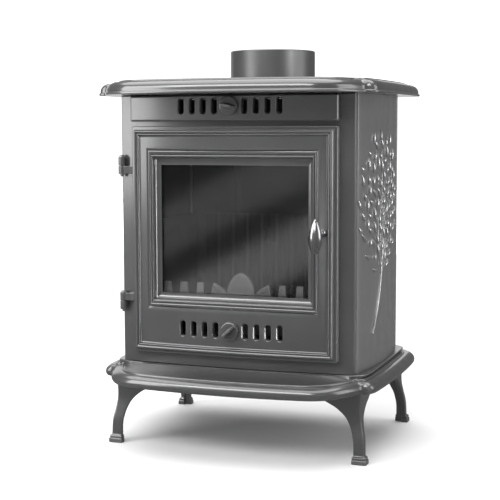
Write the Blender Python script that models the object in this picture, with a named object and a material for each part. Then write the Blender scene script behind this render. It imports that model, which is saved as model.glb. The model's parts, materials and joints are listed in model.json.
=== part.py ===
"""Cast iron wood burning stove on four legs, door hinged on the left, two rows of air slots.

Metres, +Z up. The front faces -Y. The origin is on the floor, under the middle of the two plates.
Depths written as FACE + d are measured back from the front face of the front frame.
"""

import math

import bmesh
import bpy
from mathutils import Matrix, Vector

GAP = 0.0003

# Levels above the floor.
BASE_BOTTOM = 0.117
BASE_RIM_TOP = 0.137
BASE_TOP = 0.145
BODY_BOTTOM = BASE_TOP + GAP
BODY_TOP = 0.6035
TOP_BOTTOM = BODY_TOP + GAP
TOP_TOP = 0.6275
COLLAR_TOP = 0.685

# Plan of the body and the plates.
FACE = -0.1085
PLATE_HALF_DEPTH = 0.2135
PLATE_CENTRE_Y = 0.0
BODY_HALF_WIDTH = 0.207
BODY_DEPTH = 0.300
SIDE_BULGE = 0.0155
FRONT_BOW = 0.012
WALL = 0.006
FRAME_THICKNESS = 0.010
TOP_PLATE_GROWTH = 1.016

# Door.
DOOR_HALF_WIDTH = 0.182
DOOR_BOTTOM = 0.166
DOOR_TOP = 0.5515
OPENING_HALF_WIDTH = 0.174
OPENING_BOTTOM = 0.175
OPENING_TOP = 0.543
GLASS_HALF_WIDTH = 0.1435
GLASS_BOTTOM = 0.2565
GLASS_TOP = 0.4995
GLASS_THICKNESS = 0.004
DOOR_PANEL_FRONT = -0.013
DOOR_PANEL_BACK = -0.008

# Hinge, latch and handle.
HINGE_X = -0.2035
HINGE_DEPTH = -0.008
HINGE_RADIUS = 0.006
HINGE_PIN_RADIUS = 0.0028
HANDLE_X = 0.158
HANDLE_Z = 0.379
GRIP_DEPTH = -0.060

# Air controls: two rows of slots, a slider behind each, moved by a knob with an eccentric pin.
# Each row is placed by the x and z of its knob.
UPPER_AIR = (0.0, 0.585)
LOWER_AIR = (0.0, 0.211)
SLOT_WIDTH = 0.0095
SLOT_HEIGHT = 0.026
SLOT_FIRST = 0.0264
SLOT_PITCH = 0.020
SLOTS_PER_SIDE = 4
SLIDER_TRAVEL = 0.010
CRANK_RADIUS = 0.010
CRANK_START = math.radians(-30)
SPINDLE_RADIUS = 0.003
KNOB_RADIUS = 0.016

# Flue.
COLLAR_RADIUS = 0.076
COLLAR_WALL = 0.006
COLLAR_DEPTH = 0.198
FLANGE_RADIUS = 0.092
FLANGE_THICKNESS = 0.004
FLUE_HOLE_RADIUS = 0.066

# Legs.
FOOT_X = 0.2325
FRONT_FOOT_DEPTH = -0.017
REAR_FOOT_DEPTH = 0.312
LEG_TOP = BASE_BOTTOM - GAP


def clear_scene():
    for old in list(bpy.data.objects):
        bpy.data.objects.remove(old, do_unlink=True)


def principled(name, color, roughness, metallic):
    material = bpy.data.materials.new(name)
    material.use_nodes = True
    shader = material.node_tree.nodes["Principled BSDF"]
    shader.inputs["Base Color"].default_value = (*color, 1.0)
    shader.inputs["Roughness"].default_value = roughness
    shader.inputs["Metallic"].default_value = metallic
    return material


def make_materials():
    return {
        "enamel": principled("grey_enamel", (0.16, 0.16, 0.165), 0.35, 0.3),
        "iron": principled("bare_cast_iron", (0.05, 0.05, 0.052), 0.75, 0.4),
        "steel": principled("steel", (0.42, 0.42, 0.43), 0.35, 1.0),
        "polished": principled("polished_handle", (0.30, 0.30, 0.31), 0.2, 0.9),
        "glass": principled("dark_glass", (0.03, 0.03, 0.032), 0.05, 0.0),
        "rope": principled("rope_seal", (0.16, 0.155, 0.15), 0.95, 0.0),
        "sheet": principled("sheet_steel", (0.20, 0.20, 0.21), 0.5, 0.8),
    }


# ---- Shapes -----------------------------------------------------------------------------------


def bezier(start, first, second, end, steps):
    """Points along a cubic curve in plan, without its last point."""
    points = []
    for i in range(steps):
        t = i / steps
        s = 1 - t
        weights = (s**3, 3 * s * s * t, 3 * s * t * t, t**3)
        corners = (start, first, second, end)
        points.append(tuple(sum(w * c[k] for w, c in zip(weights, corners)) for k in (0, 1)))
    return points


def circle(radius, sides, centre=(0.0, 0.0), turn=0.0):
    step = 2 * math.pi / sides
    return [
        (centre[0] + radius * math.cos(turn + i * step), centre[1] + radius * math.sin(turn + i * step))
        for i in range(sides)
    ]


def capsule(x, z, width, height, steps=4):
    """Outline of an upright slot with round ends, centred on (x, z)."""
    radius = width / 2
    straight = height / 2 - radius
    points = []
    for end in (1, -1):
        for i in range(steps + 1):
            angle = math.pi * i / steps + (0 if end > 0 else math.pi)
            points.append((x + radius * math.cos(angle), z + end * straight + radius * math.sin(angle)))
    return points


def rectangle(half_width, bottom, top, depth, x=0.0):
    """Four corners of an upright rectangle at FACE + depth, with its middle at x."""
    y = FACE + depth
    left, right = x - half_width, x + half_width
    return [(left, y, bottom), (right, y, bottom), (right, y, top), (left, y, top)]


def bow(x):
    """How far the front of the body and the door stand forward of their ends, at x."""
    return FRONT_BOW * max(0.0, 1 - (x / BODY_HALF_WIDTH) ** 2)


def bowed(half_width, bottom, top, depth, amount=1.0, steps=10):
    """An upright rectangle whose bottom and top edges follow the bow of the front."""
    xs = [-half_width + 2 * half_width * i / steps for i in range(steps + 1)]
    lower = [(x, FACE + depth - amount * bow(x), bottom) for x in xs]
    upper = [(x, FACE + depth - amount * bow(x), top) for x in reversed(xs)]
    return lower + upper


def flat(half_width, bottom, top, depth):
    """The same outline as a bowed rectangle, without the bow."""
    return bowed(half_width, bottom, top, depth, 0.0)


def loft(loops, closed=False):
    """A solid through loops of equal length: capped at both ends, or closed on itself as a ring."""
    bm = bmesh.new()
    rings = [[bm.verts.new(p) for p in loop] for loop in loops]
    pairs = list(zip(rings, rings[1:]))
    if closed:
        pairs.append((rings[-1], rings[0]))
    for low, high in pairs:
        for i in range(len(low)):
            j = (i + 1) % len(low)
            bm.faces.new((low[i], low[j], high[j], high[i]))
    if not closed:
        bm.faces.new(rings[0])
        bm.faces.new(rings[-1])
    bmesh.ops.recalc_face_normals(bm, faces=bm.faces)
    return bm


def prism(outline, axis, low, high):
    """An outline extruded along an axis. The outline's two values are the other two coordinates."""

    def place(point, level):
        coordinates = list(point)
        coordinates.insert("xyz".index(axis), level)
        return tuple(coordinates)

    return loft([[place(p, level) for p in outline] for level in (low, high)])


def ring(outer, inner, front, back, x=0.0):
    """A flat upright ring between two rectangles, each given as (half width, bottom, top)."""
    corners = ((outer, front), (inner, front), (inner, back), (outer, back))
    return loft([rectangle(*edge, depth, x) for edge, depth in corners], closed=True)


def box(low, high):
    outline = [(low[0], low[1]), (high[0], low[1]), (high[0], high[1]), (low[0], high[1])]
    return prism(outline, "z", low[2], high[2])


def cylinder(x, y, bottom, top, radius, sides=12):
    return prism(circle(radius, sides, (x, y)), "z", bottom, top)


def turned(profile, axis, centre, sides):
    """A profile of (radius, level) pairs turned about an upright or a front-to-back axis.

    A profile whose ends are both at radius 0 makes a solid bar; otherwise it closes as a ring.
    """
    solid = profile[0][0] == 0
    inner = profile[1:-1] if solid else profile
    loops = []
    for radius, level in inner:
        ring = circle(radius, sides, centre)
        loops.append([(a, b, level) if axis == "z" else (a, level, b) for a, b in ring])
    return loft(loops, closed=not solid)


def merged(*meshes):
    """Several separate shapes in one mesh, for use as one cutter."""
    whole = bmesh.new()
    for part in meshes:
        mesh = bpy.data.meshes.new("merge")
        part.to_mesh(mesh)
        part.free()
        whole.from_mesh(mesh)
        bpy.data.meshes.remove(mesh)
    return whole


# ---- Objects ----------------------------------------------------------------------------------


def pivot(name, x, depth, z, parent=None):
    """An empty on a joint's axis, which carries the pieces that move about or along it."""
    empty = bpy.data.objects.new(name, None)
    bpy.context.scene.collection.objects.link(empty)
    place = Vector((x, FACE + depth, z))
    empty["place"] = place
    empty.location = place
    if parent:
        empty.parent = parent
        empty.location = place - Vector(parent["place"])
    return empty


def add(name, bm, material, parent=None, smooth=False):
    """Makes a piece's object. The mesh is given in world coordinates and moved to its parent's place."""
    if parent:
        bmesh.ops.translate(bm, vec=-Vector(parent["place"]), verts=bm.verts)
    mesh = bpy.data.meshes.new(name)
    bm.to_mesh(mesh)
    bm.free()
    if smooth:
        mesh.shade_smooth()
        mesh.set_sharp_from_angle(angle=math.radians(35))
    mesh.materials.append(material)
    made = bpy.data.objects.new(name, mesh)
    bpy.context.scene.collection.objects.link(made)
    made.parent = parent
    return made


def combine(target, bm, operation, label):
    """Cuts a shape out of a piece, or joins it on, with a Boolean that stays on the piece."""
    helper = add(f"{target.name}_{label}", bm, target.data.materials[0], target.parent)
    helper.hide_render = True
    helper.display_type = "WIRE"
    modifier = target.modifiers.new(label, "BOOLEAN")
    modifier.operation = operation
    modifier.object = helper
    modifier.solver = "EXACT"


def cut(target, bm, label="cut"):
    combine(target, bm, "DIFFERENCE", label)


def join(target, bm, label="join"):
    combine(target, bm, "UNION", label)


# ---- Base, top and legs -----------------------------------------------------------------------


def plate_outline(scale=1.0):
    """The scalloped outline shared by the two plates: bowed front, two lobes at each front corner."""
    front = -PLATE_HALF_DEPTH
    back = PLATE_HALF_DEPTH
    # Curves from the middle of the front to the straight part of the back, each with its steps.
    curves = (
        ((0, front), (0.060, front), (0.110, front + 0.005), (0.150, front + 0.011), 4),
        ((0.150, front + 0.011), (0.193, front + 0.018), (0.209, front + 0.052), (0.222, front + 0.085), 6),
        ((0.222, front + 0.085), (0.225, front + 0.092), (0.229, front + 0.092), (0.234, front + 0.0925), 3),
        ((0.234, front + 0.0925), (0.243, front + 0.094), (0.246, front + 0.112), (0.247, front + 0.135), 4),
        ((0.247, front + 0.135), (0.253, front + 0.210), (0.253, back - 0.110), (0.2485, back - 0.050), 5),
        ((0.2485, back - 0.050), (0.244, back - 0.018), (0.230, back), (0.203, back), 4),
    )
    half = [point for curve in curves for point in bezier(*curve)]
    half.append((0.203, back))
    mirrored = [(-x, y) for x, y in reversed(half[1:])]
    return [(x * scale, PLATE_CENTRE_Y + y * scale) for x, y in half + mirrored]


def body_plan(outline, margin):
    """For each point of an outline, the point in its direction on the plan of the body, bowed in front."""
    half_width = BODY_HALF_WIDTH + SIDE_BULGE + margin
    half_depth = BODY_DEPTH / 2 + margin
    centre_y = FACE + BODY_DEPTH / 2
    power = 12
    points = []
    for x, y in outline:
        dx, dy = x, y - centre_y
        reach = (abs(dx / half_width) ** power + abs(dy / half_depth) ** power) ** (1 / power)
        foot_x, foot_y = dx / reach, centre_y + dy / reach
        if foot_y < centre_y:
            foot_y -= bow(foot_x)
        points.append((foot_x, foot_y))
    return points


def at_level(outline, z):
    return [(x, y, z) for x, y in outline]


def make_base_plate(materials):
    rim = ((0.0, 0.978), (0.0025, 0.993), (0.007, 1.0), (0.0115, 0.998), (0.0155, 0.986), (0.018, 0.965))
    loops = [at_level(plate_outline(scale), BASE_BOTTOM + rise) for rise, scale in rim]
    loops.append(at_level(plate_outline(0.935), BASE_RIM_TOP))
    loops.append(at_level(body_plan(plate_outline(), 0.0055), BASE_TOP - 0.001))
    loops.append(at_level(body_plan(plate_outline(), 0.0035), BASE_TOP))
    base = add("base_plate", loft(loops), materials["enamel"], smooth=True)
    hollow = box((-0.165, FACE + 0.005, BASE_BOTTOM - 0.01), (0.165, FACE + 0.285, BASE_BOTTOM + 0.020))
    holes = [
        cylinder(x, y, BASE_BOTTOM - 0.01, BASE_BOTTOM + 0.014, 0.0043)
        for x, y in (leg_bolt_place(*corner) for corner in LEG_CORNERS.values())
    ]
    cut(base, merged(hollow, *holes))


LEG_CORNERS = {
    "front_left": (-1, -1),
    "front_right": (1, -1),
    "rear_left": (-1, 1),
    "rear_right": (1, 1),
}


def leg_corner(side, end):
    depth = FRONT_FOOT_DEPTH if end < 0 else REAR_FOOT_DEPTH
    return side * FOOT_X, FACE + depth


def leg_bolt_place(side, end):
    inward = 0.037
    x, y = leg_corner(side, end)
    return x - side * inward, y - end * inward


def make_leg(name, side, end, materials):
    """A cabriole leg of L section, flared at the top, with a moulded pad round its outer faces."""
    corner_x, corner_y = leg_corner(side, end)

    def world(a, b, z):
        return corner_x - side * a, corner_y - end * b, z

    # Height, set-back of the outer corner, reach across, reach along the side, flange thickness.
    sections = (
        (0.0, 0.0, 0.0255, 0.0180, 0.0125),
        (0.007, 0.0, 0.0255, 0.0180, 0.0125),
        (0.009, 0.0015, 0.0247, 0.0172, 0.0110),
        (0.0125, 0.0015, 0.0247, 0.0172, 0.0110),
        (0.0155, 0.0042, 0.0230, 0.0165, 0.0090),
        (0.032, 0.0052, 0.0234, 0.0180, 0.0080),
        (0.044, 0.0064, 0.0252, 0.0200, 0.0080),
        (0.058, 0.0093, 0.0290, 0.0240, 0.0080),
        (0.075, 0.0122, 0.0385, 0.0330, 0.0080),
        (0.090, 0.0128, 0.0555, 0.0500, 0.0080),
        (0.104, 0.0122, 0.0805, 0.0760, 0.0080),
        (LEG_TOP, 0.0115, 0.0860, 0.0860, 0.0080),
    )
    loops = []
    for z, e, across, along, t in sections:
        corner = ((e, e), (across, e), (across, e + t), (e + t, e + t), (e + t, along), (e, along))
        loops.append([world(a, b, z) for a, b in corner])
    leg = add(f"leg_{name}", loft(loops), materials["enamel"])
    bolt_x, bolt_y = leg_bolt_place(side, end)
    reach = 0.019
    lug = box((bolt_x - reach, bolt_y - reach, LEG_TOP - 0.008), (bolt_x + reach, bolt_y + reach, LEG_TOP))
    join(leg, lug, "lug")
    cut(leg, cylinder(bolt_x, bolt_y, LEG_TOP - 0.02, LEG_TOP + 0.01, 0.0043), "hole")
    head_bottom = LEG_TOP - 0.008 - GAP - 0.006
    bolt = prism(circle(0.007, 6, (bolt_x, bolt_y)), "z", head_bottom, head_bottom + 0.006)
    bolt_object = add(f"leg_bolt_{name}", bolt, materials["steel"])
    join(bolt_object, cylinder(bolt_x, bolt_y, head_bottom + 0.002, BASE_BOTTOM + 0.012, 0.0038), "shank")


def make_top_plate(materials):
    grow = TOP_PLATE_GROWTH
    levels = (
        (TOP_BOTTOM, 0.996),
        (TOP_BOTTOM + 0.001, 1.0),
        (0.6165, 0.999),
        (0.6195, 0.990),
        (0.6220, 0.974),
        (0.6238, 0.955),
        (0.6248, 0.934),
        (0.6252, 0.914),
        (TOP_TOP, 0.906),
    )
    loops = [at_level(plate_outline(scale * grow), z) for z, scale in levels]
    top = add("top_plate", loft(loops), materials["enamel"], smooth=True)
    hollow = box((-0.188, FACE + 0.014, TOP_BOTTOM - 0.01), (0.188, FACE + 0.286, TOP_BOTTOM + 0.015))
    cut(top, hollow, "hollow")
    flue = cylinder(0, FACE + COLLAR_DEPTH, TOP_BOTTOM, TOP_TOP + 0.01, FLUE_HOLE_RADIUS, 32)
    bolts = [cylinder(x, y, TOP_BOTTOM, TOP_TOP + 0.01, 0.0029, 8) for x, y in collar_bolt_places()]
    cut(top, merged(flue, *bolts), "flue")


def collar_bolt_places():
    radius = (COLLAR_RADIUS + FLANGE_RADIUS) / 2
    return circle(radius, 3, (0, FACE + COLLAR_DEPTH), math.radians(90))


def make_flue_collar(materials):
    base = TOP_TOP + GAP
    flange_top = base + FLANGE_THICKNESS
    inside = COLLAR_RADIUS - COLLAR_WALL
    profile = (
        (inside, base),
        (FLANGE_RADIUS, base),
        (FLANGE_RADIUS, flange_top),
        (COLLAR_RADIUS + 0.001, flange_top),
        (COLLAR_RADIUS, flange_top + 0.002),
        (COLLAR_RADIUS, COLLAR_TOP - 0.0015),
        (COLLAR_RADIUS - 0.0015, COLLAR_TOP),
        (inside, COLLAR_TOP),
    )
    centre = (0, FACE + COLLAR_DEPTH)
    collar = add("flue_collar", turned(profile, "z", centre, 32), materials["enamel"], smooth=True)
    holes = [cylinder(x, y, base - 0.01, flange_top + 0.001, 0.0029, 8) for x, y in collar_bolt_places()]
    cut(collar, merged(*holes))
    for index, (x, y) in enumerate(collar_bolt_places(), 1):
        head = prism(circle(0.0052, 6, (x, y)), "z", flange_top + GAP, flange_top + 0.0045)
        bolt = add(f"collar_bolt_{index}", head, materials["steel"])
        join(bolt, cylinder(x, y, TOP_TOP - 0.007, flange_top + 0.003, 0.0025, 8), "shank")


# ---- Body -------------------------------------------------------------------------------------


def side_x(depth, inset=0.0):
    """Half width of the body at a depth: the sides bow out in an arc."""
    middle = BODY_DEPTH / 2
    radius = (middle**2 + SIDE_BULGE**2) / (2 * SIDE_BULGE) - inset
    return BODY_HALF_WIDTH + SIDE_BULGE - inset - (radius - math.sqrt(radius**2 - (depth - middle) ** 2))


def air_slots(place, low, high):
    """Cutters for one row of air slots, between two depths."""
    middle, z = place
    slots = []
    for side in (-1, 1):
        for i in range(SLOTS_PER_SIDE):
            x = middle + side * (SLOT_FIRST + i * SLOT_PITCH)
            slots.append(prism(capsule(x, z, SLOT_WIDTH, SLOT_HEIGHT), "y", FACE + low, FACE + high))
    return slots


def spindle_hole(place, low, high, radius=SPINDLE_RADIUS + 0.0005):
    return prism(circle(radius, 12, place), "y", FACE + low, FACE + high)


PANEL_FRONT = -0.014
PANEL_WALL = 0.005


def make_front_frame(materials):
    outer = (BODY_HALF_WIDTH, BODY_BOTTOM, BODY_TOP)
    inner = (OPENING_HALF_WIDTH, OPENING_BOTTOM, OPENING_TOP)
    back = FRAME_THICKNESS
    loops = [bowed(*outer, 0), bowed(*inner, 0), flat(*inner, back), flat(*outer, back)]
    frame = add("front_frame", loft(loops, closed=True), materials["enamel"])
    panel = loft(
        [
            bowed(0.183, 0.5595, BODY_TOP - 0.001, 0.004),
            bowed(0.183, 0.5595, BODY_TOP - 0.001, PANEL_FRONT + 0.003),
            bowed(0.1805, 0.5620, BODY_TOP - 0.003, PANEL_FRONT),
        ]
    )
    join(frame, panel, "air_panel")
    pocket = (0.126, 0.5635, 0.6015)
    pocket_loops = [bowed(*pocket, PANEL_FRONT + PANEL_WALL), flat(*pocket, back + 0.002)]
    cut(frame, loft(pocket_loops), "slider_pocket")
    front = PANEL_FRONT - FRONT_BOW - 0.01
    holes = air_slots(UPPER_AIR, front, back)
    cut(frame, merged(*holes, spindle_hole(UPPER_AIR, front, back)), "slots")


def make_side_panels(materials):
    first = FRAME_THICKNESS + GAP
    steps = 8
    depths = [first + (BODY_DEPTH - first) * i / steps for i in range(steps + 1)]
    for name, side in (("left", -1), ("right", 1)):
        outline = [(side * side_x(d), FACE + d) for d in depths]
        outline += [(side * side_x(d, WALL), FACE + d) for d in reversed(depths)]
        panel = prism(outline, "z", BODY_BOTTOM, BODY_TOP)
        add(f"side_panel_{name}", panel, materials["enamel"], smooth=True)


def make_back_panel(materials):
    half = side_x(BODY_DEPTH, WALL) - GAP
    low = (-half, FACE + BODY_DEPTH - 0.010, BODY_BOTTOM)
    high = (half, FACE + BODY_DEPTH - 0.010 + WALL, BODY_TOP)
    add("back_panel", box(low, high), materials["enamel"])


def make_tie_rods(materials):
    for index, (side, depth) in enumerate(((-1, 0.030), (1, 0.030), (-1, 0.280), (1, 0.280)), 1):
        rod = cylinder(side * 0.1955, FACE + depth, BODY_BOTTOM, BODY_TOP, 0.003, 8)
        add(f"tie_rod_{index}", rod, materials["steel"], smooth=True)


# ---- Firebox ----------------------------------------------------------------------------------

SUPPORT_BOTTOM = 0.222
SUPPORT_TOP = 0.230
LINER_TOP = 0.386
LINER_FRONT = 0.022
LINER_BACK = 0.2615


def plan_ring(half_width, front, back, z):
    return [
        (-half_width, FACE + front, z),
        (half_width, FACE + front, z),
        (half_width, FACE + back, z),
        (-half_width, FACE + back, z),
    ]


def make_firebox(materials):
    iron = materials["iron"]
    outer = (0.190, 0.022, 0.274)
    inner = (0.110, 0.050, 0.232)
    loops = [plan_ring(*outer, SUPPORT_BOTTOM), plan_ring(*inner, SUPPORT_BOTTOM)]
    loops += [plan_ring(*inner, SUPPORT_TOP), plan_ring(*outer, SUPPORT_TOP)]
    add("grate_support", loft(loops, closed=True), iron)
    floor = SUPPORT_TOP + GAP
    for name, side in (("left", -1), ("right", 1)):
        low = (min(side * 0.176, side * 0.188), FACE + LINER_FRONT, floor)
        high = (max(side * 0.176, side * 0.188), FACE + LINER_BACK, LINER_TOP)
        add(f"side_liner_{name}", box(low, high), iron)
    low = (-0.1755, FACE + LINER_BACK + GAP, floor)
    add("back_liner", box(low, (0.1755, FACE + LINER_BACK + 0.0105, LINER_TOP)), iron)
    grate = add("grate", box((-0.118, FACE + 0.042, floor), (0.118, FACE + 0.240, 0.240)), iron)
    bars = 10
    pitch = 0.0205
    slots = []
    for i in range(bars):
        x = (i - (bars - 1) / 2) * pitch
        slots.append(box((x - 0.0055, FACE + 0.060, floor - 0.01), (x + 0.0055, FACE + 0.222, 0.25)))
    cut(grate, merged(*slots))
    slope = [(FACE + 0.075, 0.522), (FACE + 0.286, 0.502), (FACE + 0.286, 0.508), (FACE + 0.075, 0.528)]
    add("baffle_plate", prism(slope, "x", -0.186, 0.186), iron)
    rest = [(FACE + 0.100, 0.5125), (FACE + 0.270, 0.4965), (FACE + 0.270, 0.5030), (FACE + 0.100, 0.5190)]
    for name, side in (("left", -1), ("right", 1)):
        reach = sorted((side * 0.178, side * 0.2015))
        add(f"baffle_rest_{name}", prism(rest, "x", *reach), iron)


def guard_outline():
    """Front view of the log guard: a pointed leaf in the middle, two petals, and a row of posts."""
    foot = SUPPORT_TOP + GAP
    valley = 0.264
    post_top = 0.2835
    half = bezier((0, 0.303), (0.011, 0.301), (0.022, 0.288), (0.0245, 0.272), 5)
    half += [(0.0245, 0.272), (0.0248, valley), (0.0262, valley)]
    half += [(0.031, 0.271), (0.050, 0.2835), (0.0535, valley)]
    for i in range(3):
        left = 0.067 + i * 0.031
        half += [(left, valley), (left + 0.002, post_top), (left + 0.013, post_top), (left + 0.015, valley)]
    half += [(0.157, valley), (0.166, valley), (0.166, foot)]
    mirrored = [(-x, z) for x, z in reversed(half[1:])]
    return half + mirrored


def make_log_guard(materials):
    add("log_guard", prism(guard_outline(), "y", FACE + 0.027, FACE + 0.033), materials["enamel"])


def make_ash_pan(materials):
    bottom = BASE_TOP + 0.002
    rim = 0.198
    sheet = 0.0015
    loops = [
        plan_ring(0.112, 0.036, 0.244, bottom),
        plan_ring(0.120, 0.030, 0.250, rim),
        plan_ring(0.120 - sheet, 0.030 + sheet, 0.250 - sheet, rim),
        plan_ring(0.112 - sheet, 0.036 + sheet, 0.244 - sheet, bottom + sheet),
    ]
    pan = add("ash_pan", loft(loops), materials["sheet"])
    join(pan, box((-0.030, FACE + 0.019, 0.186), (0.030, FACE + 0.0315, 0.190)), "pull")


# ---- Air controls -----------------------------------------------------------------------------


def make_air_control(name, place, wall_front, wall_back, knob_turn, parents, materials):
    """Slider, retainer, knob and crank behind one row of slots, with the wall between two depths."""
    x, z = place
    slider_parent, knob_parent, fixed_parent = parents
    half_length = 0.112
    slider_front = wall_back - bow(half_length + SLIDER_TRAVEL) + 0.0005
    slider_back = slider_front + 0.0025
    low = (x - half_length, FACE + slider_front, z - 0.018)
    high = (x + half_length, FACE + slider_back, z + 0.0155)
    slider = add(f"{name}_air_slider", box(low, high), materials["sheet"], slider_parent)
    spindle_slot = box(
        (x - SLIDER_TRAVEL - 0.0036, FACE + slider_front - 0.01, z - 0.0036),
        (x + 0.0036, FACE + slider_back + 0.01, z + 0.0036),
    )
    pin_x = x + CRANK_RADIUS * math.sin(CRANK_START)
    pin_z = z + CRANK_RADIUS * math.cos(CRANK_START)
    pin_radius = 0.002
    pin_slot = box(
        (pin_x - pin_radius - 0.00035, FACE + slider_front - 0.01, pin_z - pin_radius - 0.0004),
        (pin_x + pin_radius + 0.00035, FACE + slider_back + 0.01, z + CRANK_RADIUS + pin_radius + 0.0004),
    )
    slots = air_slots(place, slider_front - 0.01, slider_back + 0.01)
    cut(slider, merged(*slots, spindle_slot, pin_slot))

    guide_front = slider_back + GAP
    outer = (0.1245, z - 0.0210, z + 0.0160)
    inner = (0.1000, z - 0.0148, z + 0.0138)
    retainer = ring(outer, inner, guide_front, guide_front + 0.002, x)
    add(f"{name}_air_retainer", retainer, materials["sheet"], fixed_parent)

    disc_back = wall_front - bow(0) - GAP
    disc_front = disc_back - 0.006
    ridge_front = disc_front - 0.014
    spindle_end = slider_back + 0.0004
    profile = (
        (0, disc_front),
        (KNOB_RADIUS - 0.0025, disc_front),
        (KNOB_RADIUS, disc_front + 0.0025),
        (KNOB_RADIUS, disc_back),
        (SPINDLE_RADIUS, disc_back),
        (SPINDLE_RADIUS, spindle_end),
        (0, spindle_end),
    )
    shifted = [(radius, FACE + level) for radius, level in profile]
    knob = add(f"{name}_air_knob", turned(shifted, "y", place, 24), materials["enamel"], knob_parent, True)
    ridge_half = 0.0135
    ridge = loft(
        [
            rectangle(ridge_half, z - 0.0042, z + 0.0042, disc_front + 0.002, x),
            rectangle(ridge_half - 0.0005, z - 0.0036, z + 0.0036, disc_front - 0.008, x),
            rectangle(ridge_half - 0.004, z - 0.0022, z + 0.0022, ridge_front, x),
        ]
    )
    turn = Matrix.Rotation(knob_turn, 4, "Y")
    bmesh.ops.rotate(ridge, cent=(x, 0, z), matrix=turn, verts=ridge.verts)
    join(knob, ridge, "ridge")

    crank_front = spindle_end + GAP
    crank_back = crank_front + 0.002
    crank_profile = ((0, crank_front), (0.0125, crank_front), (0.0125, crank_back), (0, crank_back))
    shifted = [(radius, FACE + level) for radius, level in crank_profile]
    crank = add(f"{name}_air_crank", turned(shifted, "y", place, 20), materials["steel"], knob_parent, True)
    pin_ends = (FACE + slider_front - 0.0002, FACE + crank_front + 0.001)
    pin = prism(circle(pin_radius, 10, (pin_x, pin_z)), "y", *pin_ends)
    join(crank, pin, "pin")


# ---- Door -------------------------------------------------------------------------------------


def make_door_frame(materials, door):
    """The door casting: bowed, with a flat moulded frame round the glass and a panel with air slots."""

    def step(inset, depth):
        return bowed(DOOR_HALF_WIDTH - inset, DOOR_BOTTOM + inset, DOOR_TOP - inset, depth)

    outer_mould = [
        step(0.0, -0.001),
        step(0.0, -0.009),
        step(0.0015, -0.0105),
        step(0.0060, -0.0105),
        step(0.0068, -0.0145),
        step(0.0085, -0.0170),
        step(0.0110, -0.0170),
        step(0.0122, -0.0155),
        step(0.0138, -0.0165),
        step(0.0160, DOOR_PANEL_FRONT),
    ]
    glass_mould = [
        bowed(0.1507, 0.2452, 0.5126, DOOR_PANEL_FRONT),
        flat(0.1497, 0.2462, 0.5116, -0.0182),
        flat(0.1470, 0.2490, 0.5090, -0.0196),
        flat(0.1440, 0.2520, 0.5060, -0.0180),
        flat(0.1410, 0.2550, 0.5030, -0.0172),
        flat(0.1307, 0.2688, 0.4868, -0.0075),
    ]
    back = [
        flat(0.1307, 0.2688, 0.4868, -0.0046),
        flat(0.1445, 0.2555, 0.5005, -0.0046),
        flat(0.1445, 0.2555, 0.5005, -0.0010),
        flat(0.1500, 0.2485, 0.5070, -0.0010),
        bowed(0.1500, 0.2475, 0.5085, DOOR_PANEL_BACK),
        bowed(0.1650, 0.1830, 0.5350, DOOR_PANEL_BACK),
        bowed(0.1650, 0.1830, 0.5350, -0.0010),
        step(0.0068, -0.001),
        step(0.0068, -0.004),
        step(0.0014, -0.004),
        step(0.0014, -0.001),
    ]
    frame = add("door_frame", loft(outer_mould + glass_mould + back, closed=True), materials["enamel"], door)
    holes = air_slots(LOWER_AIR, -0.04, 0.0)
    holes.append(spindle_hole(LOWER_AIR, -0.04, 0.0))
    holes.append(spindle_hole((HANDLE_X, HANDLE_Z), -0.04, 0.0, 0.0055))
    cut(frame, merged(*holes), "slots")


def make_glazing(materials, door):
    pane = loft(
        [
            rectangle(GLASS_HALF_WIDTH, GLASS_BOTTOM, GLASS_TOP, -0.003),
            rectangle(GLASS_HALF_WIDTH, GLASS_BOTTOM, GLASS_TOP, -0.003 + GLASS_THICKNESS),
        ]
    )
    add("door_glass", pane, materials["glass"], door)
    outer = (GLASS_HALF_WIDTH, GLASS_BOTTOM, GLASS_TOP)
    inner = (GLASS_HALF_WIDTH - 0.010, GLASS_BOTTOM + 0.010, GLASS_TOP - 0.010)
    add("glass_gasket", ring(outer, inner, -0.0043, -0.0033), materials["rope"], door)
    rope_outer = (DOOR_HALF_WIDTH - 0.0018, DOOR_BOTTOM + 0.0018, DOOR_TOP - 0.0018)
    rope_inner = (DOOR_HALF_WIDTH - 0.0064, DOOR_BOTTOM + 0.0064, DOOR_TOP - 0.0064)
    corners = ((rope_outer, -0.0037), (rope_inner, -0.0037), (rope_inner, -0.0004), (rope_outer, -0.0004))
    rope = loft([bowed(*edge, depth) for edge, depth in corners], closed=True)
    add("door_rope_seal", rope, materials["rope"], door)
    # Section of a glass clip: it bears on the pane and steps back to the door.
    clip = (
        (0.0013, -0.0105),
        (0.0029, -0.0105),
        (0.0029, 0.0035),
        (0.0009, 0.0035),
        (0.0009, 0.0070),
        (-0.0007, 0.0070),
        (-0.0007, 0.0018),
        (0.0013, 0.0018),
    )
    for level, edge, out in (("upper", GLASS_TOP, 1), ("lower", GLASS_BOTTOM, -1)):
        for name, x in (("left", -0.105), ("right", 0.105)):
            outline = [(FACE + depth, edge + out * rise) for depth, rise in clip]
            piece = prism(outline, "x", x - 0.009, x + 0.009)
            add(f"glass_clip_{level}_{name}", piece, materials["steel"], door)


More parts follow.
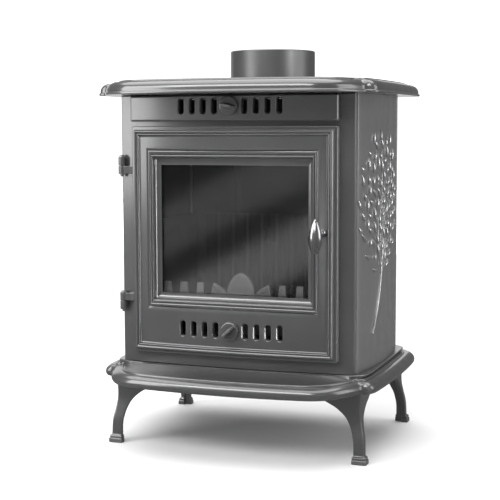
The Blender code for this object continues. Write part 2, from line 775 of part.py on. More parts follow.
def make_hinge(name, bottom, top, lug_above, materials, door):
    """A body knuckle with its bracket, a door lug on the same pin, and the pin."""
    x, y = HINGE_X, FACE + HINGE_DEPTH
    middle = (bottom + top) / 2
    lug = (middle + GAP, top) if lug_above else (bottom, middle - GAP)
    knuckle = (bottom, middle - GAP) if lug_above else (middle + GAP, top)
    bore = HINGE_PIN_RADIUS + 0.0004

    def make(piece, span, arm_low, arm_high, parent):
        barrel = cylinder(x, y, span[0], span[1], HINGE_RADIUS, 16)
        made = add(piece, barrel, materials["enamel"], parent, True)
        low = (arm_low[0], arm_low[1], span[0] + 0.0005)
        high = (arm_high[0], arm_high[1], span[1] - 0.0005)
        join(made, box(low, high), "arm")
        cut(made, cylinder(x, y, span[0] - 0.01, span[1] + 0.01, bore, 16), "bore")

    frame_face = FACE - bow(x + 0.0055) - GAP
    make(f"hinge_bracket_{name}", knuckle, (x - 0.003, y), (x + 0.0055, frame_face), None)
    arm_end = -DOOR_HALF_WIDTH - GAP
    make(f"hinge_lug_{name}", lug, (x, y - 0.0040), (arm_end, y + 0.0040), door)
    head = 0.0042
    profile = (
        (0, bottom - 0.004),
        (HINGE_PIN_RADIUS - 0.001, bottom - 0.004),
        (HINGE_PIN_RADIUS, bottom - 0.002),
        (HINGE_PIN_RADIUS, top + GAP),
        (head, top + GAP),
        (head, top + 0.0025),
        (head - 0.0015, top + 0.004),
        (0, top + 0.004),
    )
    add(f"hinge_pin_{name}", turned(profile, "z", (x, y), 16), materials["steel"], None, True)


def make_latch_and_handle(materials, handle):
    collar_back = DOOR_PANEL_FRONT - bow(HANDLE_X - 0.0075) - GAP
    tongue_front = 0.0136
    radius = 0.005
    grip_radius = 0.011
    spindle_front = GRIP_DEPTH + grip_radius + GAP
    profile = (
        (0, spindle_front),
        (radius - 0.001, spindle_front),
        (radius, spindle_front + 0.001),
        (radius, collar_back - 0.007),
        (0.0066, collar_back - 0.005),
        (0.0074, collar_back),
        (radius, collar_back),
        (radius, tongue_front - GAP),
        (0, tongue_front - GAP),
    )
    shifted = [(r, FACE + level) for r, level in profile]
    spindle = turned(shifted, "y", (HANDLE_X, HANDLE_Z), 16)
    add("handle_spindle", spindle, materials["polished"], handle, True)

    # Egg-shaped grip, wider above its middle and flat at its foot.
    bottom, top = HANDLE_Z - 0.031, HANDLE_Z + 0.026
    egg = ((0, bottom), (0.0042, bottom), (0.0065, bottom + 0.006), (0.0092, bottom + 0.018))
    egg += ((grip_radius, bottom + 0.033), (0.0100, bottom + 0.044), (0.0065, bottom + 0.053))
    egg += ((0.002, top), (0, top))
    grip = turned(egg, "z", (HANDLE_X, FACE + GRIP_DEPTH), 16)
    add("handle_grip", grip, materials["polished"], handle, True)

    # The tongue points up when the latch is free, and turns out behind the frame to hold the door.
    reach = 0.026
    hub, tip = 0.008, 0.004
    outline = [
        (HANDLE_X + hub * math.cos(a), HANDLE_Z + hub * math.sin(a))
        for a in (math.pi + math.pi * i / 8 for i in range(9))
    ]
    outline += [
        (HANDLE_X + tip * math.cos(a), HANDLE_Z + reach - tip + tip * math.sin(a))
        for a in (math.pi * i / 4 for i in range(5))
    ]
    tongue = prism(outline, "y", FACE + tongue_front, FACE + tongue_front + 0.004)
    add("latch_tongue", tongue, materials["steel"], handle)
    keep_front = FRAME_THICKNESS + GAP
    keep = [
        (OPENING_HALF_WIDTH + 0.002, FACE + keep_front),
        (OPENING_HALF_WIDTH + 0.016, FACE + keep_front),
        (OPENING_HALF_WIDTH + 0.016, FACE + tongue_front - 0.0006),
        (OPENING_HALF_WIDTH + 0.006, FACE + tongue_front - 0.0006),
    ]
    add("latch_keep", prism(keep, "z", 0.370, 0.402), materials["steel"])


def main():
    clear_scene()
    materials = make_materials()
    door = pivot("door_axis", HINGE_X, HINGE_DEPTH, (DOOR_BOTTOM + DOOR_TOP) / 2)
    handle = pivot("handle_axis", HANDLE_X, DOOR_PANEL_FRONT, HANDLE_Z, door)
    upper_x, upper_z = UPPER_AIR
    lower_x, lower_z = LOWER_AIR
    panel_back = PANEL_FRONT + PANEL_WALL
    upper_knob = pivot("upper_knob_axis", upper_x, PANEL_FRONT - FRONT_BOW, upper_z)
    upper_slider = pivot("upper_slider_axis", upper_x, panel_back, upper_z)
    lower_knob = pivot("lower_knob_axis", lower_x, DOOR_PANEL_FRONT - FRONT_BOW, lower_z, door)
    lower_slider = pivot("lower_slider_axis", lower_x, DOOR_PANEL_BACK, lower_z, door)

    make_base_plate(materials)
    for name, (side, end) in LEG_CORNERS.items():
        make_leg(name, side, end, materials)
    make_front_frame(materials)
    make_side_panels(materials)
    make_back_panel(materials)
    make_tie_rods(materials)
    make_top_plate(materials)
    make_flue_collar(materials)
    make_firebox(materials)
    make_log_guard(materials)
    make_ash_pan(materials)
    upper = (upper_slider, upper_knob, None)
    make_air_control("upper", UPPER_AIR, PANEL_FRONT, panel_back, math.radians(12), upper, materials)
    make_door_frame(materials, door)
    make_glazing(materials, door)
    lower = (lower_slider, lower_knob, door)
    lower_wall = (DOOR_PANEL_FRONT, DOOR_PANEL_BACK)
    make_air_control("lower", LOWER_AIR, *lower_wall, math.radians(-42), lower, materials)
    make_hinge("upper", 0.470, 0.4995, False, materials, door)
    make_hinge("lower", 0.2365, 0.266, True, materials, door)
    make_latch_and_handle(materials, handle)


main()
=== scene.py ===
"""Fine meshes, materials, lights and camera for a cast iron wood burning stove.

Metres, +Z up, the front faces -Y. A depth is measured back from the front face of the front frame,
which is at y = FACE. An upright outline is given as (half width, bottom, top).
"""

import json
from math import atan2, copysign, cos, pi, radians, sin, sqrt

import bmesh
import bpy
import numpy as np
from mathutils import Matrix, Vector


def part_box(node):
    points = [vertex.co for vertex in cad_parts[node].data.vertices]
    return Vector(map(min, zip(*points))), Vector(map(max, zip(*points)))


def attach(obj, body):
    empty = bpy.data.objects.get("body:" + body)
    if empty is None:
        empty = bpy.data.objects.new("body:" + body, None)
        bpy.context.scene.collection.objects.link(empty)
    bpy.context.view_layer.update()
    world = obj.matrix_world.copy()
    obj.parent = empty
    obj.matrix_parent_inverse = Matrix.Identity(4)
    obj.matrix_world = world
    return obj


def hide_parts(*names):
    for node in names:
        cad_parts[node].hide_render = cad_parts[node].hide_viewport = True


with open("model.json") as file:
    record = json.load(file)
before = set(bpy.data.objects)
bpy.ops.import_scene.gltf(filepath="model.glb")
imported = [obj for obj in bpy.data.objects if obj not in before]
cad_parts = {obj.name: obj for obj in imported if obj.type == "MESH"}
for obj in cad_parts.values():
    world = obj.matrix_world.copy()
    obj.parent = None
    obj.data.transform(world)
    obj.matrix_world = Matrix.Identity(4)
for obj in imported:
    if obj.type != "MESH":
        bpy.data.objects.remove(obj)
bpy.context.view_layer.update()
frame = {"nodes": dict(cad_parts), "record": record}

NODES = frame["nodes"]

GAP = 0.0003
FRAME_THICKNESS = 0.010
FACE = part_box("side_panel_left")[0].y - FRAME_THICKNESS - GAP
BODY_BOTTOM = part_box("front_frame")[0].z
BODY_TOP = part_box("front_frame")[1].z
BODY_HALF_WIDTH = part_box("front_frame")[1].x
BODY_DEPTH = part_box("side_panel_left")[1].y - FACE
SIDE_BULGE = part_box("side_panel_right")[1].x - BODY_HALF_WIDTH
WALL = 0.006
BASE_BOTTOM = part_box("base_plate")[0].z
BASE_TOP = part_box("base_plate")[1].z
TOP_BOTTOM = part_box("top_plate")[0].z
TOP_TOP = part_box("top_plate")[1].z
PLATE_HALF_DEPTH = 0.2135
TOP_PLATE_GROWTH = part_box("top_plate")[1].y / PLATE_HALF_DEPTH
DOOR_LOW, DOOR_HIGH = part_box("door_frame")
DOOR_PANEL_FRONT = -0.013
DOOR_PANEL_BACK = -0.008
AIR_PANEL_FRONT = -0.014
SLOT_WIDTH = 0.0095
SLOT_HEIGHT = 0.026
SLOT_FIRST = 0.0264
SLOT_PITCH = 0.020
SLOTS_PER_SIDE = 4
FRONT_BOW = 0.012


def middle_of(node):
    low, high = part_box(node)
    return (low + high) / 2


def bow(x):
    """How far the front of the body and the door stand forward of their ends, at x."""
    return FRONT_BOW * max(0.0, 1 - (x / BODY_HALF_WIDTH) ** 2)


UPPER_KNOB = middle_of("upper_air_crank")
LOWER_KNOB = middle_of("lower_air_crank")
HANDLE = middle_of("handle_spindle")
COLLAR = middle_of("flue_collar")


# ---- Material nodes


EDGE = "edge"


class Shading:
    """A material being built: a Principled shader and the procedural nodes that feed it."""

    def __init__(self, name, **sockets):
        self.material = bpy.data.materials.new(name)
        self.material.use_nodes = True
        self.tree = self.material.node_tree
        self.shader = self.tree.nodes["Principled BSDF"]
        self.feed(self.shader, {key.replace("_", " "): value for key, value in sockets.items()})
        self.place = self.node("TexCoord", {}).outputs["Object"]

    def feed(self, node, inputs):
        """Gives a node its inputs, each a value or another node's output."""
        for socket, value in inputs.items():
            if isinstance(value, bpy.types.NodeSocket):
                self.tree.links.new(value, node.inputs[socket])
            else:
                node.inputs[socket].default_value = value

    def node(self, kind, inputs, **settings):
        made = self.tree.nodes.new(f"ShaderNode{kind}")
        for key, value in settings.items():
            setattr(made, key, value)
        self.feed(made, inputs)
        return made

    def noise(self, scale, detail=3.0, roughness=0.5, stretch=None, distortion=0.0):
        place = self.place
        if stretch:
            place = self.node("Mapping", {"Vector": place, "Scale": stretch}).outputs["Vector"]
        inputs = {"Vector": place, "Scale": scale, "Detail": detail}
        inputs |= {"Roughness": roughness, "Distortion": distortion}
        return self.node("TexNoise", inputs).outputs["Fac"]

    def value(self, source):
        """A source is the settings of a noise, the scale of a pattern of spots, or EDGE."""
        if source == EDGE:
            return self.node("NewGeometry", {}).outputs["Pointiness"]
        if isinstance(source, float):
            return self.node("TexVoronoi", {"Scale": source, "Vector": self.place}).outputs["Distance"]
        return self.noise(*source)

    def spread(self, source, low, high, to_low, to_high):
        inputs = {"Value": self.value(source), "From Min": low, "From Max": high}
        inputs |= {"To Min": to_low, "To Max": to_high}
        return self.node("MapRange", inputs, clamp=True).outputs["Result"]

    def layered(self, base, layers):
        """Colours over a base colour. Each layer is (source, low, high, most, colour)."""
        color = (*base, 1.0)
        for source, low, high, most, over in layers:
            inputs = {"Factor": self.spread(source, low, high, 0.0, most), 6: color, 7: (*over, 1.0)}
            color = self.node("Mix", inputs, data_type="RGBA").outputs[2]
        return color


def shaded(name, base, layers, rough=None, bumps=(), **sockets):
    """Colour in layers, roughness as (source, least, most), and bumps as (source, strength, distance).

    Roughness runs from least to most over the middle of its source, or between two values given last.
    """
    s = Shading(name, **sockets)
    s.feed(s.shader, {"Base Color": s.layered(base, layers)})
    if rough:
        source, least, most, *ends = rough
        s.feed(s.shader, {"Roughness": s.spread(source, *(ends or (0.3, 0.7)), least, most)})
    below = {}
    for source, strength, distance in bumps:
        inputs = {"Height": s.value(source), "Strength": strength, "Distance": distance, **below}
        below = {"Normal": s.node("Bump", inputs).outputs["Normal"]}
    s.feed(s.shader, below)
    return s


def enamel_material(name, coat, coat_roughness):
    """Grey vitreous enamel over sand-cast iron: a soft gloss, slight orange peel, paler worn edges, and
    painted shade darkening its hollows.
    """
    layers = (
        ((9.0, 4.0, 0.55), 0.3, 0.7, 1.0, (0.060, 0.0605, 0.062)),
        ((420.0, 2.0, 0.6), 0.35, 0.65, 0.35, (0.038, 0.0385, 0.040)),
        (EDGE, 0.515, 0.60, 1.0, (0.16, 0.161, 0.164)),
        # Painted shade: this layer darkens the hollows and creases, where the pointiness falls low.
        (EDGE, 0.485, 0.42, 0.7, (0.015, 0.015, 0.016)),
    )
    bumps = (((26.0, 2.0), 0.22, 0.0008), ((330.0, 2.0, 0.5), 0.14, 0.00015))
    coating = {"Coat_Weight": coat, "Coat_Roughness": coat_roughness, "Coat_IOR": 1.75}
    rough = ((38.0, 5.0, 0.6), 0.32, 0.44)
    return shaded(name, (0.046, 0.0465, 0.048), layers, rough, bumps, **coating).material


def ashy_material():
    """The log guard's enamel, dulled and paled by fine ash."""
    layers = (
        ((34.0, 5.0, 0.65), 0.32, 0.68, 1.0, (0.26, 0.258, 0.252)),
        (EDGE, 0.515, 0.60, 1.0, (0.42, 0.42, 0.41)),
    )
    bumps = (((420.0, 3.0, 0.6), 0.25, 0.0002),)
    coating = {"Coat_Weight": 0.2, "Coat_Roughness": 0.35}
    rough = ((90.0, 4.0), 0.5, 0.72)
    return shaded("ashy_enamel", (0.15, 0.15, 0.15), layers, rough, bumps, **coating).material


def iron_material():
    """Bare cast iron inside the firebox: sand-rough, sooty, with brown and ashy patches."""
    layers = (
        ((14.0, 6.0, 0.65, None, 0.4), 0.38, 0.66, 1.0, (0.042, 0.040, 0.038)),
        ((31.0, 5.0, 0.7), 0.56, 0.72, 0.6, (0.085, 0.058, 0.042)),
        (EDGE, 0.52, 0.64, 1.0, (0.15, 0.148, 0.145)),
    )
    bumps = ((380.0, 0.35, 0.0004), ((900.0, 3.0, 0.7), 0.4, 0.0002))
    rough = ((60.0, 4.0), 0.62, 0.88)
    return shaded("sooty_iron", (0.020, 0.0193, 0.0187), layers, rough, bumps, Metallic=0.15).material


def steel_material():
    streaks = (260.0, 3.0, 0.6, (1.0, 1.0, 0.08))
    layers = (
        ((70.0, 5.0, 0.6), 0.4, 0.7, 1.0, (0.27, 0.265, 0.26)),
        (EDGE, 0.52, 0.65, 1.0, (0.62, 0.62, 0.62)),
    )
    bumps = ((streaks, 0.12, 0.0001),)
    rough = (streaks, 0.26, 0.46)
    return shaded("zinc_steel", (0.40, 0.40, 0.41), layers, rough, bumps, Metallic=0.9).material


def sheet_material():
    rolled = (190.0, 3.0, 0.6, (0.05, 1.0, 1.0))
    layers = (((12.0, 3.0), 0.35, 0.7, 1.0, (0.13, 0.12, 0.115)),)
    bumps = ((rolled, 0.15, 0.0001), ((700.0, 2.0), 0.1, 0.0001))
    rough = (rolled, 0.38, 0.6)
    return shaded("rolled_sheet_steel", (0.20, 0.20, 0.21), layers, rough, bumps, Metallic=0.8).material


def polished_material():
    """The polished handle: dark bright metal with faint hand-finishing marks and greyer patches."""
    marks = (500.0, 4.0, 0.6, (1.0, 1.0, 0.12))
    layers = (((60.0, 3.0), 0.35, 0.7, 1.0, (0.40, 0.40, 0.41)),)
    bumps = ((marks, 0.04, 0.00006),)
    rough = (marks, 0.20, 0.30)
    return shaded("polished_metal", (0.52, 0.52, 0.53), layers, rough, bumps, Metallic=1.0).material


def glass_material():
    """Ceramic door glass: a clear smoky pane with a faint bloom of soot, and a clean gloss on top."""
    bloom = ((22.0, 4.0, 0.6), 0.45, 0.75, 1.0)
    layers = ((*bloom, (0.012, 0.0115, 0.011)),)
    rough = ((55.0, 4.0), 0.09, 0.11, 0.4, 0.8)
    s = shaded("door_glass", (0.006, 0.006, 0.0065), layers, rough, Specular_IOR_Level=1.0)
    tint = s.layered((0.86, 0.86, 0.87), ((*bloom, (0.79, 0.78, 0.77)),))
    clear = s.node("BsdfTransparent", {"Color": tint})
    inputs = {"Fac": 0.24, 1: clear.outputs["BSDF"], 2: s.shader.outputs["BSDF"]}
    pane = s.node("MixShader", inputs)
    s.feed(s.tree.nodes["Material Output"], {"Surface": pane.outputs["Shader"]})
    return s.material


def rope_material():
    """Braided glass fibre: pale grey with dark soot between the strands and fine fibres."""
    fibres = (1400.0, 2.0, 0.6, (1.0, 1.0, 0.6))
    layers = (((90.0, 4.0), 0.35, 0.7, 1.0, (0.10, 0.098, 0.093)),)
    bumps = ((fibres, 0.5, 0.0003),)
    rough = (fibres, 0.85, 0.98)
    return shaded("rope_seal", (0.24, 0.235, 0.225), layers, rough, bumps, Sheen_Weight=0.3).material


def floor_material():
    layers = (((3.0, 3.0), 0.3, 0.7, 1.0, (0.92, 0.92, 0.92)),)
    rough = ((20.0, 3.0), 0.8, 0.9)
    return shaded("pale_floor", (0.90, 0.90, 0.90), layers, rough, Specular_IOR_Level=0.1).material


def backdrop_material():
    """A white studio cyclorama, lit evenly, with a trace of unevenness."""
    white = ((1.0, 1.0, 1.0), (((1.5, 2.0), 0.3, 0.7, 1.0, (0.995, 0.995, 0.995)),))
    s = shaded("white_backdrop", *white, Emission_Strength=1.0, Specular_IOR_Level=0.0)
    s.feed(s.shader, {"Emission Color": s.layered(*white)})
    return s.material


SATIN = enamel_material("satin_enamel", 0.8, 0.42)
MATERIAL_OF_SLOT = {
    "grey_enamel": enamel_material("grey_enamel", 1.0, 0.16),
    "bare_iron": iron_material(),
    "steel": steel_material(),
    "sheet_steel": sheet_material(),
    "polished_handle": polished_material(),
    "glass": glass_material(),
    "rope": rope_material(),
}
SUBPARTS = frame["record"]["subparts"]
SLOT_OF_NODE = {part["node"]: part["material_slot"] for part in SUBPARTS}
BODIES = frame["record"]["behaviour"]["bodies"]
BODY_OF_NODE = {node: body for body, nodes in BODIES.items() for node in nodes}


# ---- Shapes


def bezier(start, first, second, end, steps):
    """Points along a cubic curve in plan, without its last point."""
    points = []
    for i in range(steps):
        t = i / steps
        s = 1 - t
        weights = (s**3, 3 * s * s * t, 3 * s * t * t, t**3)
        corners = (start, first, second, end)
        points.append(tuple(sum(w * c[k] for w, c in zip(weights, corners)) for k in (0, 1)))
    return points


def arc(centre, radii, start, stop, steps):
    """Points on an ellipse between two angles in degrees, both ends included."""
    points = []
    for i in range(steps + 1):
        angle = radians(start + (stop - start) * i / steps)
        points.append((centre[0] + radii[0] * cos(angle), centre[1] + radii[1] * sin(angle)))
    return points


def circle(radius, sides, centre=(0.0, 0.0), turn=0.0):
    return arc(centre, (radius, radius), turn, turn + 360 * (sides - 1) / sides, sides - 1)


def bead(start, end, crest, steps=8):
    """A rounded ridge or hollow between two profile points, level with crest at its middle."""
    points = []
    for i in range(steps + 1):
        t = i / steps
        across = start[0] + (end[0] - start[0]) * (1 - cos(pi * t)) / 2
        foot = start[1] + (end[1] - start[1]) * t
        points.append((across, foot + (crest - foot) * sin(pi * t)))
    return points


def eased(start, end, steps=6):
    """An S-shaped run from one profile point to the next."""
    points = []
    for i in range(steps + 1):
        t = i / steps
        across = start[0] + (end[0] - start[0]) * t
        points.append((across, start[1] + (end[1] - start[1]) * t * t * (3 - 2 * t)))
    return points


def capsule(x, z, width, height, steps=8):
    """Outline of an upright slot with round ends."""
    radius = width / 2
    straight = height / 2 - radius
    return arc((x, z + straight), (radius, radius), 0, 180, steps) + arc(
        (x, z - straight), (radius, radius), 180, 360, steps
    )


def rounded_box_outline(low, high, radius, steps=4):
    """Outline of a rectangle with round corners, from its lower left corner, anticlockwise."""
    radius = max(radius, 0.00005)
    points = []
    corners = (
        (low[0] + radius, low[1] + radius, 180),
        (high[0] - radius, low[1] + radius, 270),
        (high[0] - radius, high[1] - radius, 0),
        (low[0] + radius, high[1] - radius, 90),
    )
    for x, y, start in corners:
        points += arc((x, y), (radius, radius), start, start + 90, steps)
    return points


def upright(half_width, bottom, top, depth, radius=0.0006, bowed=True):
    """A rectangle with round corners at FACE + depth, whose long edges follow the bow of the front."""
    corners = rounded_box_outline((-half_width, bottom), (half_width, top), radius)
    each = len(corners) // 4
    between_corners = 72
    points = []
    for i in range(4):
        points += corners[i * each : (i + 1) * each]
        if i in (0, 2):
            start, end = corners[(i + 1) * each - 1], corners[(i + 1) * each]
            run = (end[0] - start[0]) / between_corners
            points += [(start[0] + run * k, start[1]) for k in range(1, between_corners)]
    return [(x, FACE + depth - (bow(x) if bowed else 0.0), z) for x, z in points]


def loft(loops, closed=False, strips=False):
    """A solid through loops of equal length: closed on itself as a ring, or with a cap at both ends.

    Strip caps suit the loops of upright(), whose first and last halves mirror each other.
    """
    bm = bmesh.new()
    rings = [[bm.verts.new(p) for p in loop] for loop in loops]
    pairs = list(zip(rings, rings[1:]))
    if closed:
        pairs.append((rings[-1], rings[0]))
    for low, high in pairs:
        for i in range(len(low)):
            j = (i + 1) % len(low)
            bm.faces.new((low[i], low[j], high[j], high[i]))
    for ring in () if closed else (rings[0], rings[-1]):
        if strips:
            for i in range(len(ring) // 2 - 1):
                bm.faces.new((ring[i], ring[i + 1], ring[-i - 2], ring[-i - 1]))
        else:
            bm.faces.new(ring)
    bmesh.ops.recalc_face_normals(bm, faces=bm.faces)
    return bm


def turned(profile, axis, centre, sides=64):
    """A profile of (radius, level) points turned about an axis. From radius 0 to radius 0 it is a bar."""
    loops = []
    for radius, level in profile:
        ring = circle(max(radius, 0.00002), sides, centre)
        loops.append([(a, b, level) if axis == "z" else (a, level, b) for a, b in ring])
    return loft(loops, closed=profile[0][0] > 0)


def rod(axis, centre, radius, low, high, sides):
    return turned(((0, low), (radius, low), (radius, high), (0, high)), axis, centre, sides)


def rounded_block(low, high, radius=0.001, steps=3):
    """A block with its upright edges and its top and bottom rims rounded."""
    rims = [(radius + x, low[2] + radius + z) for x, z in arc((0, 0), (radius, radius), 180, 270, steps)]
    rims = [(inset, level) for inset, level in reversed(rims)]
    rims += [(inset, high[2] + low[2] - level) for inset, level in reversed(rims)]
    loops = []
    for inset, level in rims:
        corners = ((low[0] + inset, low[1] + inset), (high[0] - inset, high[1] - inset))
        loops.append(at_level(rounded_box_outline(*corners, max(radius - inset, 0.0001), steps), level))
    return loft(loops)


def linked(name, data):
    made = bpy.data.objects.new(name, data)
    bpy.context.scene.collection.objects.link(made)
    return made


def merged(*meshes):
    """Several shapes in one mesh."""
    whole = bmesh.new()
    for part in meshes:
        mesh = bpy.data.meshes.new("merge")
        part.to_mesh(mesh)
        part.free()
        whole.from_mesh(mesh)
        bpy.data.meshes.remove(mesh)
    return whole


def made_object(name, bm):
    mesh = bpy.data.meshes.new(name)
    bm.to_mesh(mesh)
    bm.free()
    return linked(name, mesh)


def finish_node(made, node, sharp=38.0):
    """Finishes a fine mesh that stands for one CAD node, and takes its body and material from it."""
    return finish_piece(made, SLOT_OF_NODE[node], BODY_OF_NODE[node], (node,), sharp)


def finish_piece(made, slot, body, nodes=(), sharp=38.0):
    """Shades a piece, gives it its material, and hangs it on its body in place of its CAD nodes."""
    made.data.shade_smooth()
    made.data.set_sharp_from_angle(angle=radians(sharp))
    made.data.materials.clear()
    made.data.materials.append(MATERIAL_OF_SLOT[slot])
    modifier = made.modifiers.new("even_shading", "WEIGHTED_NORMAL")
    modifier.keep_sharp = True
    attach(made, body)
    if nodes:
        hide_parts(*nodes)
    return made


def piece(name, bm, node, sharp=38.0):
    return finish_node(made_object(name, bm), node, sharp)


def carve(made, bm, operation="DIFFERENCE"):
    """Cuts a shape out of a piece, or joins it on, and keeps the result as its mesh."""
    tool = made_object("tool", bm)
    modifier = made.modifiers.new("carve", "BOOLEAN")
    modifier.operation = operation
    modifier.solver = "EXACT"
    modifier.object = tool
    bpy.context.view_layer.update()
    evaluated = made.evaluated_get(bpy.context.evaluated_depsgraph_get())
    result = bpy.data.meshes.new_from_object(evaluated)
    made.modifiers.remove(modifier)
    old = made.data
    made.data = result
    bpy.data.meshes.remove(old)
    bpy.data.objects.remove(tool, do_unlink=True)


def refined(node, bevel):
    """A copy of a plain CAD node with its flat faces rejoined and its edges rounded."""
    bm = bmesh.new()
    bm.from_mesh(NODES[node].data)
    bmesh.ops.remove_doubles(bm, verts=bm.verts, dist=0.000002)
    bmesh.ops.dissolve_limit(bm, angle_limit=radians(1.5), verts=bm.verts, edges=bm.edges)
    made = made_object(f"{node}_fine", bm)
    modifier = made.modifiers.new("edges", "BEVEL")
    modifier.width = bevel
    modifier.segments = 2
    modifier.limit_method = "ANGLE"
    modifier.angle_limit = radians(35)
    finish_node(made, node)


# ---- Plates

def plate_outline():
    """The scalloped outline shared by the two plates: bowed front, two lobes at each front corner."""
    back = PLATE_HALF_DEPTH
    front = -back
    curves = (
        ((0, front), (0.060, front), (0.110, front + 0.005), (0.150, front + 0.011)),
        ((0.150, front + 0.011), (0.193, front + 0.018), (0.209, front + 0.052), (0.222, front + 0.085)),
        ((0.222, front + 0.085), (0.225, front + 0.092), (0.229, front + 0.092), (0.234, front + 0.0925)),
        ((0.234, front + 0.0925), (0.243, front + 0.094), (0.246, front + 0.112), (0.247, front + 0.135)),
        ((0.247, front + 0.135), (0.2529, front + 0.210), (0.2529, back - 0.110), (0.2485, back - 0.050)),
        ((0.2485, back - 0.050), (0.244, back - 0.018), (0.230, back), (0.203, back)),
    )
    half = []
    for curve, steps in zip(curves, (10, 20, 10, 10, 10, 10)):
        half += bezier(*curve, steps)
    half.append((0.203, back))
    return mirrored(half)


def mirrored(half):
    """A closed outline from its right half, which starts on the middle line."""
    return half + [(-x, y) for x, y in reversed(half[1:])]


OUTLINE = plate_outline()


def inset_outline(inset, growth=1.0):
    """The outline drawn in by a distance, measured at the middle of its front edge."""
    scale = growth - inset / PLATE_HALF_DEPTH
    return [(x * scale, y * scale) for x, y in OUTLINE]


def plan_shape(half_width, half_depth, centre_y, power):
    """For each point of the outline, the point in its direction on a rounded rectangle."""
    points = []
    for x, y in OUTLINE:
        dx, dy = x, y - centre_y
        reach = (abs(dx / half_width) ** power + abs(dy / half_depth) ** power) ** (1 / power)
        points.append((dx / reach, centre_y + dy / reach))
    return points


def body_plan(margin):
    """For each point of the outline, the point in its direction on the plan of the body."""
    points = []
    centre_y = FACE + BODY_DEPTH / 2
    for x, y in plan_shape(BODY_HALF_WIDTH + SIDE_BULGE + margin, BODY_DEPTH / 2 + margin, centre_y, 12):
        points.append((x, y - bow(x) if y < centre_y else y))
    return points


def at_level(outline, z):
    return [(x, y, z) for x, y in outline]


def between(first, second, amount):
    return [(a[0] + (b[0] - a[0]) * amount, a[1] + (b[1] - a[1]) * amount) for a, b in zip(first, second)]


def make_base_plate():
    """Round-nosed rim, a double bead along it, then an apron that rises to the foot of the body."""
    hollow = plan_shape(0.165, 0.140, FACE + 0.145, 14)
    loops = [at_level(hollow, BASE_BOTTOM + 0.020), at_level(hollow, BASE_BOTTOM)]
    widest = BASE_BOTTOM + 0.0075
    profile = arc((0.0047, widest), (0.0047, 0.0075), 270, 180, 8)
    profile += arc((0.0138, widest), (0.0138, 0.0128), 180, 90, 16)[1:]
    profile += bead((0.0142, BASE_BOTTOM + 0.0204), (0.0170, BASE_BOTTOM + 0.0208), BASE_BOTTOM + 0.0224, 6)
    profile += bead((0.0174, BASE_BOTTOM + 0.0208), (0.0200, BASE_BOTTOM + 0.0212), BASE_BOTTOM + 0.0222, 6)
    loops += [at_level(inset_outline(inset), z) for inset, z in profile]
    rim = inset_outline(0.0205)
    foot = body_plan(0.0055)
    rim_top = BASE_BOTTOM + 0.0212
    rise = BASE_TOP - 0.0012 - rim_top
    for t in (0.08, 0.2, 0.35, 0.5, 0.65, 0.8, 0.9, 0.97):
        loops.append(at_level(between(rim, foot, t), rim_top + rise * t**1.3))
    for margin, drop in ((0.0055, 0.0012), (0.0050, 0.0004), (0.0038, 0.0), (0.0030, 0.0)):
        loops.append(at_level(body_plan(margin), BASE_TOP - drop))
    piece("base_plate_casting", loft(loops), "base_plate", 50)


def cut_bolt_holes(made, low, high):
    bolts = [middle_of(f"collar_bolt_{index}") for index in (1, 2, 3)]
    carve(made, merged(*(rod("z", (bolt.x, bolt.y), 0.0029, low, high, 16) for bolt in bolts)))


def make_top_plate():
    """Upright edge, a soft shoulder and a step up to a flat field with the flue hole, hollow beneath."""
    hollow_top = TOP_BOTTOM + 0.015
    flue = []
    for x, y in OUTLINE:
        towards = Vector((x - COLLAR.x, y - COLLAR.y)).normalized() * 0.066
        flue.append((COLLAR.x + towards.x, COLLAR.y + towards.y))
    hollow = plan_shape(0.188, 0.136, FACE + 0.150, 14)
    loops = [at_level(flue, hollow_top), at_level(hollow, hollow_top), at_level(hollow, TOP_BOTTOM)]
    profile = arc((0.0012, TOP_BOTTOM + 0.0012), (0.0012, 0.0012), 270, 180, 4)
    profile += [(0.0, 0.6068), (0.0004, 0.6076), (0.0012, 0.6082), (0.0018, 0.6090)]
    profile += arc((0.0160, 0.6110), (0.0142, 0.0138), 176, 90, 18)
    profile += [(0.0165, 0.6251)] + eased((0.0184, 0.6253), (0.0203, TOP_TOP - 0.0003), 5)
    profile += [(0.0212, TOP_TOP)]
    loops += [at_level(inset_outline(inset, TOP_PLATE_GROWTH), z) for inset, z in profile]
    field = inset_outline(0.0212, TOP_PLATE_GROWTH)
    loops += [at_level(between(field, flue, t), TOP_TOP) for t in (0.03, 0.5, 0.97, 1.0)]
    top = made_object("top_plate_casting", loft(loops, closed=True))
    cut_bolt_holes(top, TOP_TOP - 0.012, TOP_TOP + 0.01)
    finish_node(top, "top_plate", 50)


def make_flue_collar():
    low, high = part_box("flue_collar")
    flange_radius = (high.x - low.x) / 2
    radius = 0.076
    inside = 0.070
    flange_top = low.z + 0.004
    profile = [(inside, low.z), (flange_radius, low.z)]
    profile += arc((flange_radius - 0.0015, flange_top - 0.0015), (0.0015, 0.0015), 0, 90, 4)
    profile += arc((radius + 0.003, flange_top + 0.003), (0.003, 0.003), 270, 180, 5)
    profile += arc((radius - 0.002, high.z - 0.002), (0.002, 0.002), 0, 90, 5)
    profile += arc((inside + 0.001, high.z - 0.001), (0.001, 0.001), 90, 180, 3)
    collar = made_object("flue_collar_casting", turned(profile, "z", (COLLAR.x, COLLAR.y), 128))
    cut_bolt_holes(collar, low.z - 0.01, flange_top + 0.0004)
    finish_node(collar, "flue_collar", 50)
    collar.data.materials[0] = SATIN


